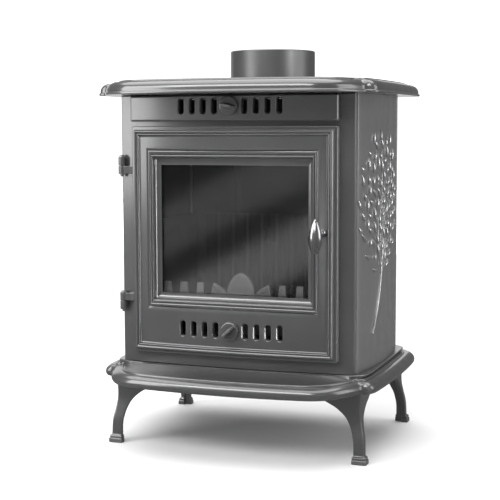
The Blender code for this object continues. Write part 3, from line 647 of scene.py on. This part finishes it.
def hex_bolt(node, across, head_low, head_high, shank_radius):
    """A hexagon-headed bolt along Z with a chamfered head, in place of a plain CAD bolt."""
    low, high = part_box(node)
    centre = middle_of(node).xy
    corner = across / sqrt(3)
    chamfer = 0.0007
    rings = ((head_low, 0.93), (head_low + chamfer, 1.0), (head_high - chamfer, 1.0), (head_high, 0.93))
    head = loft([at_level(circle(corner * cut, 6, centre), z) for z, cut in rings])
    tip = 0.0006
    shank = [(0, low.z), (shank_radius - tip, low.z), (shank_radius, low.z + tip)]
    shank += [(shank_radius, high.z - tip), (shank_radius - tip, high.z), (0, high.z)]
    piece(f"{node}_hex", merged(head, turned(shank, "z", centre, 20)), node, 30)


def make_bolts():
    for index in (1, 2, 3):
        node = f"collar_bolt_{index}"
        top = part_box(node)[1].z
        hex_bolt(node, 0.0090, top - 0.0042, top, 0.0025)
    for corner in ("front_left", "front_right", "rear_left", "rear_right"):
        node = f"leg_bolt_{corner}"
        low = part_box(node)[0].z
        hex_bolt(node, 0.0121, low, low + 0.006, 0.0038)


# ---- Legs


def smooth_through(rows, level):
    """Values at a level on smooth curves through rows of (level, value, value, ...)."""
    levels = [row[0] for row in rows]
    i = max(1, min(len(rows) - 1, int(np.searchsorted(levels, level))))
    low, high = rows[i - 1], rows[i]
    span = high[0] - low[0]
    t = min(1.0, max(0.0, (level - low[0]) / span))
    before = rows[i - 2] if i > 1 else low
    after = rows[i + 1] if i + 1 < len(rows) else high
    values = []
    for k in range(1, len(low)):
        slope_low = (high[k] - before[k]) / (high[0] - before[0])
        slope_high = (after[k] - low[k]) / (after[0] - low[0])
        h = (2 * t**3 - 3 * t**2 + 1) * low[k] + (t**3 - 2 * t**2 + t) * span * slope_low
        h += (-2 * t**3 + 3 * t**2) * high[k] + (t**3 - t**2) * span * slope_high
        values.append(h)
    return values


def rounded_corners(corners, radii, steps=4):
    """A polygon with each corner replaced by an arc-like curve of the given radius."""
    points = []
    count = len(corners)
    for i, (corner, radius) in enumerate(zip(corners, radii)):
        here = Vector(corner)
        before = Vector(corners[i - 1]) - here
        after = Vector(corners[(i + 1) % count]) - here
        reach = min(radius, 0.45 * before.length, 0.45 * after.length)
        start = here + before.normalized() * reach
        end = here + after.normalized() * reach
        for step in range(steps + 1):
            t = step / steps
            points.append(tuple(start * (1 - t) ** 2 + here * 2 * t * (1 - t) + end * t**2))
    return points


def make_leg(name, side, end):
    """A cabriole leg of L section with softened edges, standing on a moulded pad."""
    low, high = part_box(f"leg_{name}")
    corner_x = high.x if side > 0 else low.x
    corner_y = high.y if end > 0 else low.y
    # Level, set-back of the outer corner, reach across, reach along the side, flange thickness.
    shank = (
        (0.0150, 0.0046, 0.0231, 0.0165, 0.0085),
        (0.0320, 0.0052, 0.0234, 0.0180, 0.0080),
        (0.0440, 0.0064, 0.0252, 0.0200, 0.0080),
        (0.0580, 0.0093, 0.0290, 0.0240, 0.0080),
        (0.0750, 0.0122, 0.0385, 0.0330, 0.0080),
        (0.0900, 0.0128, 0.0555, 0.0500, 0.0080),
        (0.1040, 0.0122, 0.0805, 0.0760, 0.0080),
        (high.z, 0.0115, 0.0860, 0.0860, 0.0080),
    )
    # Level and projection of the pad's mouldings beyond the shank.
    pad = [(0.0, 0.0036), (0.0005, 0.0043), (0.0012, 0.0046), (0.0062, 0.0046), (0.0070, 0.0043)]
    pad += [(0.0076, 0.0036), (0.0082, 0.0030), (0.0090, 0.0033), (0.0100, 0.0034), (0.0112, 0.0033)]
    pad += [(0.0120, 0.0027), (0.0128, 0.0014), (0.0138, 0.0005), (0.0150, 0.0)]
    ankle, setback, across, along, flange = shank[0]
    rows = [(z, setback - out, across + out / 2, along + out / 2, flange + out - 0.0006) for z, out in pad]
    steps = 44
    for i in range(1, steps + 1):
        level = ankle + (high.z - ankle) * i / steps
        rows.append((level, *smooth_through(shank, level)))
    loops = []
    for level, e, across, along, t in rows:
        corners = ((e, e), (across, e), (across, e + t), (e + t, e + t), (e + t, along), (e, along))
        outline = rounded_corners(corners, (0.0030, 0.0016, 0.0016, 0.0030, 0.0016, 0.0016))
        loops.append([(corner_x - side * a, corner_y - end * b, level) for a, b in outline])
    bolt = middle_of(f"leg_bolt_{name}")
    bolt.z = high.z
    reach = Vector((0.019, 0.019, 0.0))
    lug = rounded_block(bolt - reach - Vector((0, 0, 0.008)), bolt + reach, 0.0012)
    leg = made_object(f"leg_{name}_casting", loft(loops))
    carve(leg, lug, "UNION")
    finish_node(leg, f"leg_{name}", 40)


# ---- Body


def side_x(depth, inset=0.0):
    """Half width of the body at a depth: the sides bow out in an arc."""
    middle = BODY_DEPTH / 2
    radius = (middle**2 + SIDE_BULGE**2) / (2 * SIDE_BULGE) - inset
    return BODY_HALF_WIDTH + SIDE_BULGE - inset - (radius - sqrt(radius**2 - (depth - middle) ** 2))


def slot_cutter(x, z, front, back):
    """A slot with round ends, whose mouth is rounded where it meets the front."""
    mouth = 0.0016
    levels = [(front - 0.003, mouth), (front, mouth)]
    for turn in (0.4, 0.8, 1.2, 1.571):
        levels.append((front + mouth * sin(turn), mouth * (1 - sin(turn))))
    levels.append((back, 0.0))
    loops = []
    for depth, grow in levels:
        y = FACE + depth - (bow(x) if depth < back else 0.0)
        outline = capsule(x, z, SLOT_WIDTH + 2 * grow, SLOT_HEIGHT + 2 * grow)
        loops.append([(px, y, pz) for px, pz in outline])
    return loft(loops)


def air_row(knob, front, back):
    cutters = []
    for side in (-1, 1):
        for i in range(SLOTS_PER_SIDE):
            x = knob.x + side * (SLOT_FIRST + i * SLOT_PITCH)
            cutters.append(slot_cutter(x, knob.z, front, back))
    cutters.append(rod("y", knob.xz, 0.0035, FACE + front - FRONT_BOW - 0.01, FACE + back, 24))
    return cutters


def make_front_frame():
    """Bowed upright frame round the door with softened edges, and the raised panel for the upper air row."""
    edge = 0.0018
    half, low, high = BODY_HALF_WIDTH, BODY_BOTTOM, BODY_TOP
    inner = (0.174, 0.175, 0.543)
    loops = [upright(half, low, high, FRAME_THICKNESS, 0.0008, bowed=False)]
    for i, depth in arc((edge, edge), (edge, edge), 180, 270, 5):
        loops.append(upright(half - i, low + i, high - i, depth, 0.0008))
    lip = 0.0012
    for i, depth in arc((0.0, lip), (lip, lip), 270, 360, 4):
        rest = lip - i
        loops.append(upright(inner[0] + rest, inner[1] - rest, inner[2] + rest, depth, 0.003))
    loops.append(upright(*inner, FRAME_THICKNESS, 0.003, bowed=False))
    made = made_object("front_frame_casting", loft(loops, closed=True))
    half, bottom, top = 0.183, 0.5595, BODY_TOP - 0.001
    panel = [upright(half, bottom, top, 0.004, 0.0012)]
    for i, depth in eased((0.0, AIR_PANEL_FRONT + 0.0030), (0.0024, AIR_PANEL_FRONT), 6):
        panel.append(upright(half - i, bottom + i, top - i, depth, 0.0012))
    for i in range(1, 9):
        rise = 0.0024 + 0.0020 * i
        panel.append(upright(half - 0.0024 - 0.0004 * i, bottom + rise, top - rise, AIR_PANEL_FRONT, 0.0008))
    carve(made, loft(panel, strips=True), "UNION")
    pocket = (0.126, 0.5635, 0.6015)
    front = upright(*pocket, AIR_PANEL_FRONT + 0.005)
    carve(made, loft([front, upright(*pocket, FRAME_THICKNESS + 0.002, bowed=False)], strips=True))
    carve(made, merged(*air_row(UPPER_KNOB, AIR_PANEL_FRONT, 0.004)))
    finish_node(made, "front_frame", 45)


def make_side_panels():
    first = FRAME_THICKNESS + GAP
    steps = 40
    edge = 0.0016
    for name, side in (("left", -1), ("right", 1)):
        # Depth behind the face, and how far inside the outer surface.
        run = BODY_DEPTH - first - 2 * edge
        section = [(first + edge + run * i / steps, 0.0, 0.0) for i in range(steps + 1)]
        section += [(BODY_DEPTH, 0.0006, -0.0004), (BODY_DEPTH, edge, 0.0)]
        section += [(BODY_DEPTH - (BODY_DEPTH - first) * i / steps, WALL, 0.0) for i in range(steps + 1)]
        section += [(first, edge, 0.0), (first, 0.0006, 0.0004)]
        outline = [(side * side_x(depth, inset), FACE + depth + shift) for depth, inset, shift in section]
        loops = [at_level(outline, BODY_BOTTOM), at_level(outline, BODY_TOP)]
        piece(f"side_panel_{name}_casting", loft(loops), f"side_panel_{name}", 40)


def on_side(side, depth, z, height):
    """A point at a height above the curved face of a side panel."""
    normal = Vector((1.0, (BODY_DEPTH / 2 - depth) / 0.75, 0.0)).normalized()
    return (side * (side_x(depth) + normal.x * height), FACE + depth - normal.y * height, z)


def relief_limb(side, path, radii, height):
    """A limb of oval section, half sunk in the panel, along a path of (depth, z) points."""
    loops = []
    for i, (depth, z) in enumerate(path):
        along = (Vector(path[min(i + 1, len(path) - 1)]) - Vector(path[max(i - 1, 0)])).normalized()
        ring = circle(radii[i], 12)
        rise = height / radii[0]
        loops.append([on_side(side, depth - along.y * a, z + along.x * a, b * rise) for a, b in ring])
    return loft(loops)


def relief_leaf(side, base, angle, length, width, curl, height):
    """A plump leaf that curls to one side, domed above the panel."""
    rows = 14
    along = Vector((cos(angle), sin(angle)))
    across = Vector((-along.y, along.x))
    loops = []
    for i in range(rows + 1):
        t = (1 - cos(pi * i / rows)) / 2
        half = width / 2 * max(0.02, sin(pi * t**0.85) ** 0.75)
        middle = base + along * (length * t) + across * (curl * length * t**2)
        spots = [(middle + across * a, b * height * 2 / width) for a, b in circle(half, 14)]
        loops.append([on_side(side, spot.x, spot.y, rise) for spot, rise in spots])
    return loft(loops)


def make_back_panel():
    """Back casting with a raised border outside, and a plain moulded field facing the fire."""
    low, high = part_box("back_panel")
    front = low.y - FACE
    back = high.y - FACE
    half = high.x

    def step(inset, depth):
        return upright(half - inset, low.z + inset, high.z - inset, depth, bowed=False)

    inside = eased((0.090, front), (0.094, front - 0.0030), 4)
    inside += bead((0.095, front - 0.0030), (0.101, front - 0.0030), front - 0.0046, 6)
    inside += eased((0.102, front - 0.0030), (0.106, front - 0.0012), 4)
    loops = [step(inset, depth) for inset, depth in reversed(inside)]
    loops += [step(0.0, front), step(0.0, back - 0.0010), step(0.0010, back)]
    loops += [step(inset, depth) for inset, depth in eased((0.020, back), (0.024, back - 0.0022), 5)]
    piece("back_panel_casting", loft(loops), "back_panel", 40)


# ---- Relief on the sides


def make_side_reliefs():
    """Trunk from low at the front, thin curved limbs, and plump leaves spread evenly over an oval crown."""
    crown = Vector((0.122, 0.417))
    reach = Vector((0.106, 0.116))
    fork = Vector((0.126, 0.268))
    trunk = bezier((0.072, 0.203), (0.100, 0.240), (0.119, 0.285), (0.128, 0.360), 28)
    limbs, steps, leaves = 7, 16, 84
    for name, side in (("left", -1), ("right", 1)):
        shapes = [relief_limb(side, trunk, [0.0029 - 0.0008 * i / 28 for i in range(28)], 0.0032)]
        for i in range(limbs):
            angle = radians(-28 + 236 * i / (limbs - 1))
            start = Vector(trunk[19 + min(i, limbs - 1 - i) * 2])
            run = crown + 0.86 * reach * Vector((cos(angle), sin(angle))) - start
            path = []
            for k in range(steps + 1):
                t = k / steps
                swing = 0.20 * cos(angle) * (sin(pi * t) - 0.45 * sin(2 * pi * t))
                path.append(start + run * t + Vector((-run.y, run.x)) * swing)
            radii = [0.0012 * (1 - 0.6 * k / steps) for k in range(steps + 1)]
            shapes.append(relief_limb(side, path, radii, 0.0011))
        for n in range(leaves):
            around = n * pi * (3 - sqrt(5))
            out = sqrt((n + 0.5) / leaves)
            spot = crown + out * reach * Vector((cos(around), sin(around)))
            heading = atan2(spot.y - fork.y, spot.x - fork.x) + 0.42 * sin(2.3 * n)
            length = 0.0215 * (0.88 + 0.22 * sin(1.7 * n))
            shapes.append(relief_leaf(side, spot, heading, length, 0.0088, 0.24 if n % 2 else -0.24, 0.0042))
        relief = made_object(f"side_relief_{name}", merged(*shapes))
        finish_piece(relief, "grey_enamel", "stove_body", (), 60)


# ---- Door


def make_door_frame():
    """The door casting: a beaded rim, a bowed panel, and a flat moulding that slopes in to the glass."""
    half = DOOR_HIGH.x
    outer_profile = [(0.0, -0.001), (0.0, -0.0088)]
    outer_profile += arc((0.0017, -0.0088), (0.0017, 0.0017), 180, 270, 5)
    outer_profile += [(0.0052, -0.0105)]
    outer_profile += bead((0.0056, -0.0108), (0.0118, -0.0150), -0.0176, 10)
    outer_profile += bead((0.0120, -0.0148), (0.0150, -0.0140), -0.0168, 7)
    outer_profile += arc((0.0180, -0.0160), (0.0028, 0.0030), 160, 90, 5)
    loops = []
    for inset, depth in outer_profile:
        radius = max(0.0026 - 0.12 * inset, 0.0007)
        loops.append(upright(half - inset, DOOR_LOW.z + inset, DOOR_HIGH.z - inset, depth, radius))
    outline = Vector((0.1507, 0.2452, 0.5126))
    opening = Vector((0.1307, 0.2688, 0.4868))
    panel_start = Vector((half - 0.0180, DOOR_LOW.z + 0.0180, DOOR_HIGH.z - 0.0180))
    for step in range(1, 13):
        loops.append(upright(*panel_start.lerp(outline, 0.0015 + 0.0775 * step), DOOR_PANEL_FRONT, 0.0008))
    loops.append(upright(*outline, DOOR_PANEL_FRONT + 0.0004, 0.0008))
    moulding = [(0.03, -0.0178)]
    moulding += bead((0.04, -0.0182), (0.29, -0.0178), -0.0202, 10)
    moulding += [(0.31, -0.0172), (0.325, -0.0170)]
    moulding += bead((0.34, -0.0172), (0.48, -0.0170), -0.0187, 7)
    moulding += arc((0.98, -0.0168), (0.48, 0.0093), 180, 90, 10) + [(1.0, -0.0075)]
    for u, depth in moulding:
        loops.append(upright(*outline.lerp(opening, u), depth, 0.0008, bowed=False))
    back = (
        ((0.1307, 0.2688, 0.4868), -0.0046, False),
        ((0.1445, 0.2555, 0.5005), -0.0046, False),
        ((0.1445, 0.2555, 0.5005), -0.0010, False),
        ((0.1500, 0.2485, 0.5070), -0.0010, False),
        ((0.1500, 0.2475, 0.5085), DOOR_PANEL_BACK, True),
        ((0.1650, 0.1830, 0.5350), DOOR_PANEL_BACK, True),
        ((0.1650, 0.1830, 0.5350), -0.0010, True),
    )
    loops += [upright(*edge, depth, 0.0010, bowed) for edge, depth, bowed in back]
    for inset, depth in ((0.0068, -0.001), (0.0068, -0.004), (0.0014, -0.004), (0.0014, -0.001)):
        loops.append(upright(half - inset, DOOR_LOW.z + inset, DOOR_HIGH.z - inset, depth, 0.0015))
    made = made_object("door_casting", loft(loops, closed=True))
    cutters = air_row(LOWER_KNOB, DOOR_PANEL_FRONT, 0.0)
    cutters.append(rod("y", HANDLE.xz, 0.0055, FACE + DOOR_PANEL_FRONT - FRONT_BOW, FACE, 32))
    carve(made, merged(*cutters))
    finish_node(made, "door_frame", 45)


def make_rope_seal():
    """Three twisted strands laid in the channel round the back of the door."""
    low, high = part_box("door_rope_seal")
    inset = 0.0023
    middle_y = high.y + bow(high.x) - 0.0018
    corners = ((inset - high.x, low.z + inset), (high.x - inset, high.z - inset))
    path = [Vector((x, 0.0, z)) for x, z in rounded_box_outline(*corners, 0.006, 8)]
    path.append(path[0])
    lengths = [0.0]
    for a, b in zip(path, path[1:]):
        lengths.append(lengths[-1] + (b - a).length)
    rings, sides, strands, turns = 840, 6, 3, 96
    lay, thickness = 0.00082, 0.00078
    back = Vector((0, 1, 0))
    shapes = []
    for strand in range(strands):
        loops = []
        for i in range(rings):
            at = lengths[-1] * i / rings
            k = max(1, int(np.searchsorted(lengths, at, side="right")))
            here = path[k - 1].lerp(path[k], (at - lengths[k - 1]) / (lengths[k] - lengths[k - 1]))
            here.y = middle_y - bow(here.x)
            inward = back.cross((path[k] - path[k - 1]).normalized())
            angle = 2 * pi * (turns * i / rings + strand / strands)
            centre = here + (inward * cos(angle) * 1.4 + back * sin(angle)) * lay
            loops.append([centre + inward * a * 1.25 + back * b for a, b in circle(thickness, sides)])
        shapes.append(loft(loops, closed=True))
    piece("rope_seal_strands", merged(*shapes), "door_rope_seal", 80)


def make_knob(name, knob, front, turn):
    """A round knob with a soft rim and a finger bar across it, on its spindle."""
    low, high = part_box(f"{name}_air_knob")
    radius = (high.x - low.x) / 2
    back = FACE + front - GAP
    disc = back - 0.006
    profile = [(0, disc - 0.0006), (radius * 0.55, disc - 0.0005)]
    profile += arc((radius - 0.0030, disc + 0.0030), (0.0030, 0.0032), 270, 360, 7)
    profile += [(radius, back - 0.0006), (radius - 0.0006, back), (0.003, back)]
    profile += [(0.003, high.y), (0, high.y)]
    made = made_object(f"{name}_air_knob_casting", turned(profile, "y", knob.xz, 72))
    foot = disc + 0.002
    loops = []
    for step in range(15):
        t = step / 14
        shrink = 1 - sqrt(max(0.0, 1 - (max(0.0, t - 0.85) / 0.16) ** 2))
        long_half = 0.0136 - 0.0042 * t**2.2 - 0.0022 * shrink
        thick_half = 0.0043 - 0.0016 * t - 0.0016 * shrink
        ring = []
        for c, s in circle(1.0, 40):
            x = long_half * copysign(abs(c) ** 0.75, c)
            z = thick_half * copysign(abs(s) ** 0.75, s)
            ring.append((knob.x + x, foot + (low.y - foot) * t, knob.z + z))
        loops.append(ring)
    bar = loft(loops)
    bmesh.ops.rotate(bar, cent=(knob.x, 0, knob.z), matrix=Matrix.Rotation(turn, 4, "Y"), verts=bar.verts)
    carve(made, bar, "UNION")
    finish_node(made, f"{name}_air_knob", 50)


def make_handle():
    """Polished egg-shaped grip on a stepped spindle with a rosette against the door."""
    low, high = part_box("handle_grip")
    radius = (high.x - low.x) / 2
    egg = [(0, low.z)]
    for i in range(1, 40):
        t = (1 - cos(pi * i / 40)) / 2
        egg.append((radius * sin(pi * t**0.82) ** 0.62, low.z + (high.z - low.z) * t))
    egg.append((0, high.z))
    piece("handle_grip_polished", turned(egg, "z", middle_of("handle_grip").xy, 72), "handle_grip", 60)
    low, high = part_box("handle_spindle")
    collar = FACE + DOOR_PANEL_FRONT - bow(HANDLE.x - 0.0075) - GAP
    radius = 0.005
    profile = [(0, low.y), (radius - 0.001, low.y), (radius, low.y + 0.001)]
    # Distance in front of the door's panel, and radius.
    mouldings = ((0.0185, 0.0051), (0.0180, 0.0060), (0.0170, 0.0065), (0.0160, 0.0060), (0.0155, 0.0051))
    mouldings += ((0.0075, radius), (0.0060, 0.0054), (0.0052, 0.0062), (0.0040, 0.0068), (0.0028, 0.0069))
    mouldings += ((0.0020, 0.0074), (0.0006, 0.0075), (0.0, 0.0070), (0.0, radius))
    profile += [(r, collar - ahead) for ahead, r in mouldings]
    profile += [(radius, high.y), (0, high.y)]
    piece("handle_spindle_polished", turned(profile, "y", HANDLE.xz, 56), "handle_spindle", 50)


def make_hinge(name):
    """Round knuckles on one pin, each with its arm faired into the barrel."""
    pin_low, pin_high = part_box(f"hinge_pin_{name}")
    axis = middle_of(f"hinge_pin_{name}").xy
    pin_radius = 0.0028
    radius = 0.006
    bore = pin_radius + 0.0004
    edge = 0.0010
    bracket_end = axis.x + 0.0055
    arms = {
        "bracket": ((axis.x - 0.003, axis.y), (bracket_end, FACE - bow(bracket_end) - GAP)),
        "lug": ((axis.x, axis.y - 0.0040), (DOOR_LOW.x - GAP, axis.y + 0.0040)),
    }
    for kind, (arm_low, arm_high) in arms.items():
        node = f"hinge_{kind}_{name}"
        low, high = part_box(node)
        profile = [(bore, low.z), (radius - edge, low.z)]
        profile += arc((radius - edge, low.z + edge), (edge, edge), 270, 360, 4)
        profile += arc((radius - edge, high.z - edge), (edge, edge), 0, 90, 4)
        profile += [(bore, high.z)]
        made = made_object(f"{node}_casting", turned(profile, "z", axis, 48))
        carve(made, rounded_block((*arm_low, low.z + 0.0008), (*arm_high, high.z - 0.0008), 0.0008), "UNION")
        carve(made, rod("z", axis, bore, low.z - 0.01, high.z + 0.01, 48))
        finish_node(made, node, 40)
    head = 0.0042
    head_bottom = pin_high.z - 0.0040 + GAP
    rim = head_bottom + 0.0014
    profile = [(0, pin_low.z), (pin_radius - 0.001, pin_low.z), (pin_radius, pin_low.z + 0.0015)]
    profile += [(pin_radius, head_bottom), (head, head_bottom)]
    profile += arc((0.0, rim), (head, pin_high.z - rim), 0, 90, 7)[:-1] + [(0, pin_high.z)]
    piece(f"hinge_pin_{name}_round", turned(profile, "z", axis, 40), f"hinge_pin_{name}", 45)


# ---- Firebox


def make_log_guard():
    """Cast front of the fire bed: a domed leaf in the middle, two leaning petals and a row of posts."""
    low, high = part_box("log_guard")
    valley = 0.264
    post_top = 0.2835
    half = bezier((0, 0.303), (0.011, 0.301), (0.022, 0.288), (0.0245, 0.272), 14)
    half += [(0.0245, 0.272), (0.0248, valley), (0.0262, valley)]
    half += bezier((0.0262, 0.2660), (0.028, 0.2710), (0.038, 0.2800), (0.050, post_top), 8)
    half += bezier((0.050, post_top), (0.0525, 0.2790), (0.0538, 0.2720), (0.0535, valley), 6)
    half += arc((0.0602, valley), (0.0060, 0.0022), 180, 360, 8)
    post = [(0.0002, valley + 0.0012), (0.0016, post_top - 0.0012), (0.0028, post_top)]
    post += [(0.0150 - x, z) for x, z in reversed(post)]
    for i in range(3):
        left = 0.067 + i * 0.031
        half += [(left + x, z) for x, z in post]
        if i < 2:
            half += arc((left + 0.023, valley), (0.0075, 0.0026), 180, 360, 8)
    half += [(0.157, valley), (0.166, valley), (high.x, low.z)]
    outline = mirrored(half)
    edge = 0.0007
    loops = []
    for depth, inset in ((low.y, edge), (low.y + edge, 0.0), (high.y - edge, 0.0), (high.y, edge)):
        ring = []
        for i, (x, z) in enumerate(outline):
            ahead = Vector(outline[(i + 1) % len(outline)]) - Vector(outline[i - 1])
            inward = Vector((ahead.y, -ahead.x)).normalized() * inset
            ring.append((x + inward.x, depth, z + inward.y))
        loops.append(ring)
    shapes = [loft(loops)]
    leaf = bezier((0.0, 0.3005), (0.009, 0.2985), (0.0185, 0.2860), (0.0212, 0.2715), 12)
    petal = bezier((0.0290, 0.2672), (0.032, 0.2715), (0.039, 0.2775), (0.0485, 0.2810), 8)
    petal += bezier((0.0485, 0.2810), (0.0505, 0.2775), (0.0515, 0.2720), (0.0512, 0.2672), 8)
    for outline in (mirrored(leaf + [(0.0212, 0.2655)]), petal, [(-x, z) for x, z in reversed(petal)]):
        middle = sum((Vector(point) for point in outline), Vector((0, 0))) / len(outline)
        loops = []
        for i in range(7):
            t = i / 6
            y = low.y + 0.0004 - 0.0026 * sin(pi / 2 * t)
            ring = [middle + (Vector(point) - middle) * (1 - 0.70 * t) for point in outline]
            loops.append([(spot.x, y, spot.y) for spot in ring])
        shapes.append(loft(loops))
    rail_low = (low.x + 0.002, low.y - 0.0030, 0.2400)
    rail_high = (high.x - 0.002, low.y + 0.0010, 0.2460)
    shapes.append(rounded_block(rail_low, rail_high, 0.0012))
    guard = piece("log_guard_casting", merged(*shapes), "log_guard", 45)
    guard.data.materials[0] = ashy_material()


def make_liner_ribs():
    """Shallow upright flutes on the face of the back liner."""
    low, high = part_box("back_liner")
    flutes = 11
    pitch = (high.x - low.x - 0.03) / flutes
    outline = [(low.x, high.y), (low.x, low.y + 0.001)]
    for i in range(flutes):
        left = low.x + 0.015 + pitch * i
        outline += bead((left + 0.002, low.y), (left + pitch - 0.002, low.y), low.y + 0.0028, 8)
    outline += [(high.x, low.y + 0.001), (high.x, high.y)]
    loops = [at_level(outline, low.z), at_level(outline, high.z)]
    piece("back_liner_casting", loft(loops), "back_liner", 50)


REFINED = (
    (0.0006, "latch_keep"),
    (0.0008, "latch_tongue"),
    (0.0003, "upper_air_retainer", "lower_air_retainer", "upper_air_slider", "lower_air_slider"),
    (0.0004, "upper_air_crank", "lower_air_crank", "glass_clip_upper_left", "glass_clip_upper_right"),
    (0.0004, "glass_clip_lower_left", "glass_clip_lower_right"),
    (0.0002, "glass_gasket"),
    (0.0006, "door_glass"),
    (0.0012, "grate", "grate_support"),
    (0.0015, "side_liner_left", "side_liner_right"),
    (0.0010, "baffle_plate"),
    (0.0008, "baffle_rest_left", "baffle_rest_right"),
    (0.0005, "ash_pan"),
)


# ---- Studio


def make_floor():
    """A round pale floor."""
    floor = made_object("studio_floor", loft([at_level(circle(3.2, 96), z) for z in (-0.01, 0.0)]))
    floor.data.materials.append(floor_material())
    floor.visible_glossy = False


def make_backdrop():
    """A white dome round the whole studio, seen by the camera but not mirrored in the stove."""
    profile = ((0, -0.02), (9.0, -0.02), (9.0, 4.0), (5.0, 8.0), (0, 9.0))
    dome = made_object("studio_backdrop", turned(profile, "z", (0.0, 0.0)))
    dome.data.materials.append(backdrop_material())
    for rays in ("glossy", "diffuse", "shadow", "transmission"):
        setattr(dome, f"visible_{rays}", False)


def lamp(name, kind, place, target, energy, only=(), **settings):
    """Puts a light in the studio, aimed at a point. It can be kept to some pieces."""
    light = bpy.data.lights.new(name, kind)
    light.energy = energy
    for key, value in settings.items():
        setattr(light, key, value)
    made = linked(name, light)
    made.location = place
    made.rotation_euler = (Vector(target) - Vector(place)).to_track_quat("-Z", "Y").to_euler()
    made.visible_camera = False
    if only:
        lit = bpy.data.collections.new(f"{name}_lights")
        for lit_name in only:
            lit.objects.link(bpy.data.objects[lit_name])
        made.light_linking.receiver_collection = lit
    return made


def area_light(name, place, target, size, energy, only=()):
    return lamp(name, "AREA", place, target, energy, only, shape="RECTANGLE", size=size[0], size_y=size[1])


def make_lights():
    world = bpy.data.worlds.new("studio")
    world.use_nodes = True
    background = world.node_tree.nodes["Background"]
    background.inputs["Color"].default_value = (1.0, 1.0, 1.0, 1.0)
    background.inputs["Strength"].default_value = 0.16
    bpy.context.scene.world = world
    area_light("key_left", (-2.2, -2.2, 1.45), (0, 0, 0.40), (1.3, 2.5), 52)
    area_light("front_top", (-0.3, -2.4, 2.2), (0, 0, 0.50), (2.6, 1.0), 58)
    area_light("fill_right", (2.7, 0.4, 1.2), (0, 0, 0.40), (1.6, 2.0), 24)
    tree, glass = ("side_relief_right",), ("door_glass_fine",)
    castings = ("door_casting", "flue_collar_casting")
    area_light("side_edge", (2.6, -0.50, 0.45), (0.2, 0, 0.40), (0.45, 1.9), 90, tree)
    area_light("casting_edge", (2.5, -0.95, 0.50), (0, -0.1, 0.40), (0.22, 1.6), 28, castings)
    area_light("back_glow", (-1.7, 3.3, 0.85), (0, 0, 0.40), (3.4, 1.5), 12)
    area_light("firebox", (0.0, FACE + 0.010, 0.42), (0.0, FACE + 0.030, 0.27), (0.22, 0.010), 0.05)
    for name, x, power in (("glass_strip_low", -0.28, 1.5), ("glass_strip_high", -0.78, 0.8)):
        strip = area_light(name, (x, -1.60, 0.24), (x + 0.5, 0.0, 0.30), (0.14, 1.2), power, glass)
        strip.rotation_euler.rotate_axis("Z", radians(-63))
    spot = {"spot_size": radians(12), "spot_blend": 0.8, "shadow_soft_size": 0.05}
    lamp("log_guard_spot", "SPOT", (0.25, -1.9, 0.36), (0, FACE, 0.272), 125, ("log_guard_casting",), **spot)
    lamp("overhead", "SUN", (0.0, 0.0, 3.0), (0.3, -0.4, 0.0), 3.1, angle=radians(75))


def make_camera():
    camera = bpy.data.cameras.new("camera")
    camera.lens = 86.93
    camera.sensor_width = 36.0
    made = linked("camera", camera)
    yaw, pitch, roll = (radians(angle) for angle in (19.8905, 5.7404, -0.1635))
    aim = Matrix.Rotation(yaw, 4, "Z") @ Matrix.Rotation(pi / 2 - pitch, 4, "X")
    turn = aim @ Matrix.Rotation(roll, 4, "Z")
    made.matrix_world = Matrix.Translation((0.70906, -1.99414, 0.54720)) @ turn
    bpy.context.scene.camera = made


def main():
    make_camera()
    make_base_plate()
    make_top_plate()
    make_flue_collar()
    make_bolts()
    make_leg("front_left", -1, -1)
    make_leg("front_right", 1, -1)
    make_leg("rear_left", -1, 1)
    make_leg("rear_right", 1, 1)
    make_front_frame()
    make_side_panels()
    make_back_panel()
    make_side_reliefs()
    make_door_frame()
    make_rope_seal()
    make_knob("upper", UPPER_KNOB, AIR_PANEL_FRONT - FRONT_BOW, radians(12))
    make_knob("lower", LOWER_KNOB, DOOR_PANEL_FRONT - FRONT_BOW, radians(-42))
    make_handle()
    make_hinge("upper")
    make_hinge("lower")
    make_log_guard()
    make_liner_ribs()
    for bevel, *nodes in REFINED:
        for node in nodes:
            refined(node, bevel)
    for index in (1, 2, 3, 4):
        tie_rod = NODES[f"tie_rod_{index}"]
        tie_rod.data.materials.clear()
        tie_rod.data.materials.append(MATERIAL_OF_SLOT["steel"])
    make_floor()
    make_backdrop()
    make_lights()
    bpy.context.scene.view_settings.view_transform = "Standard"


main()
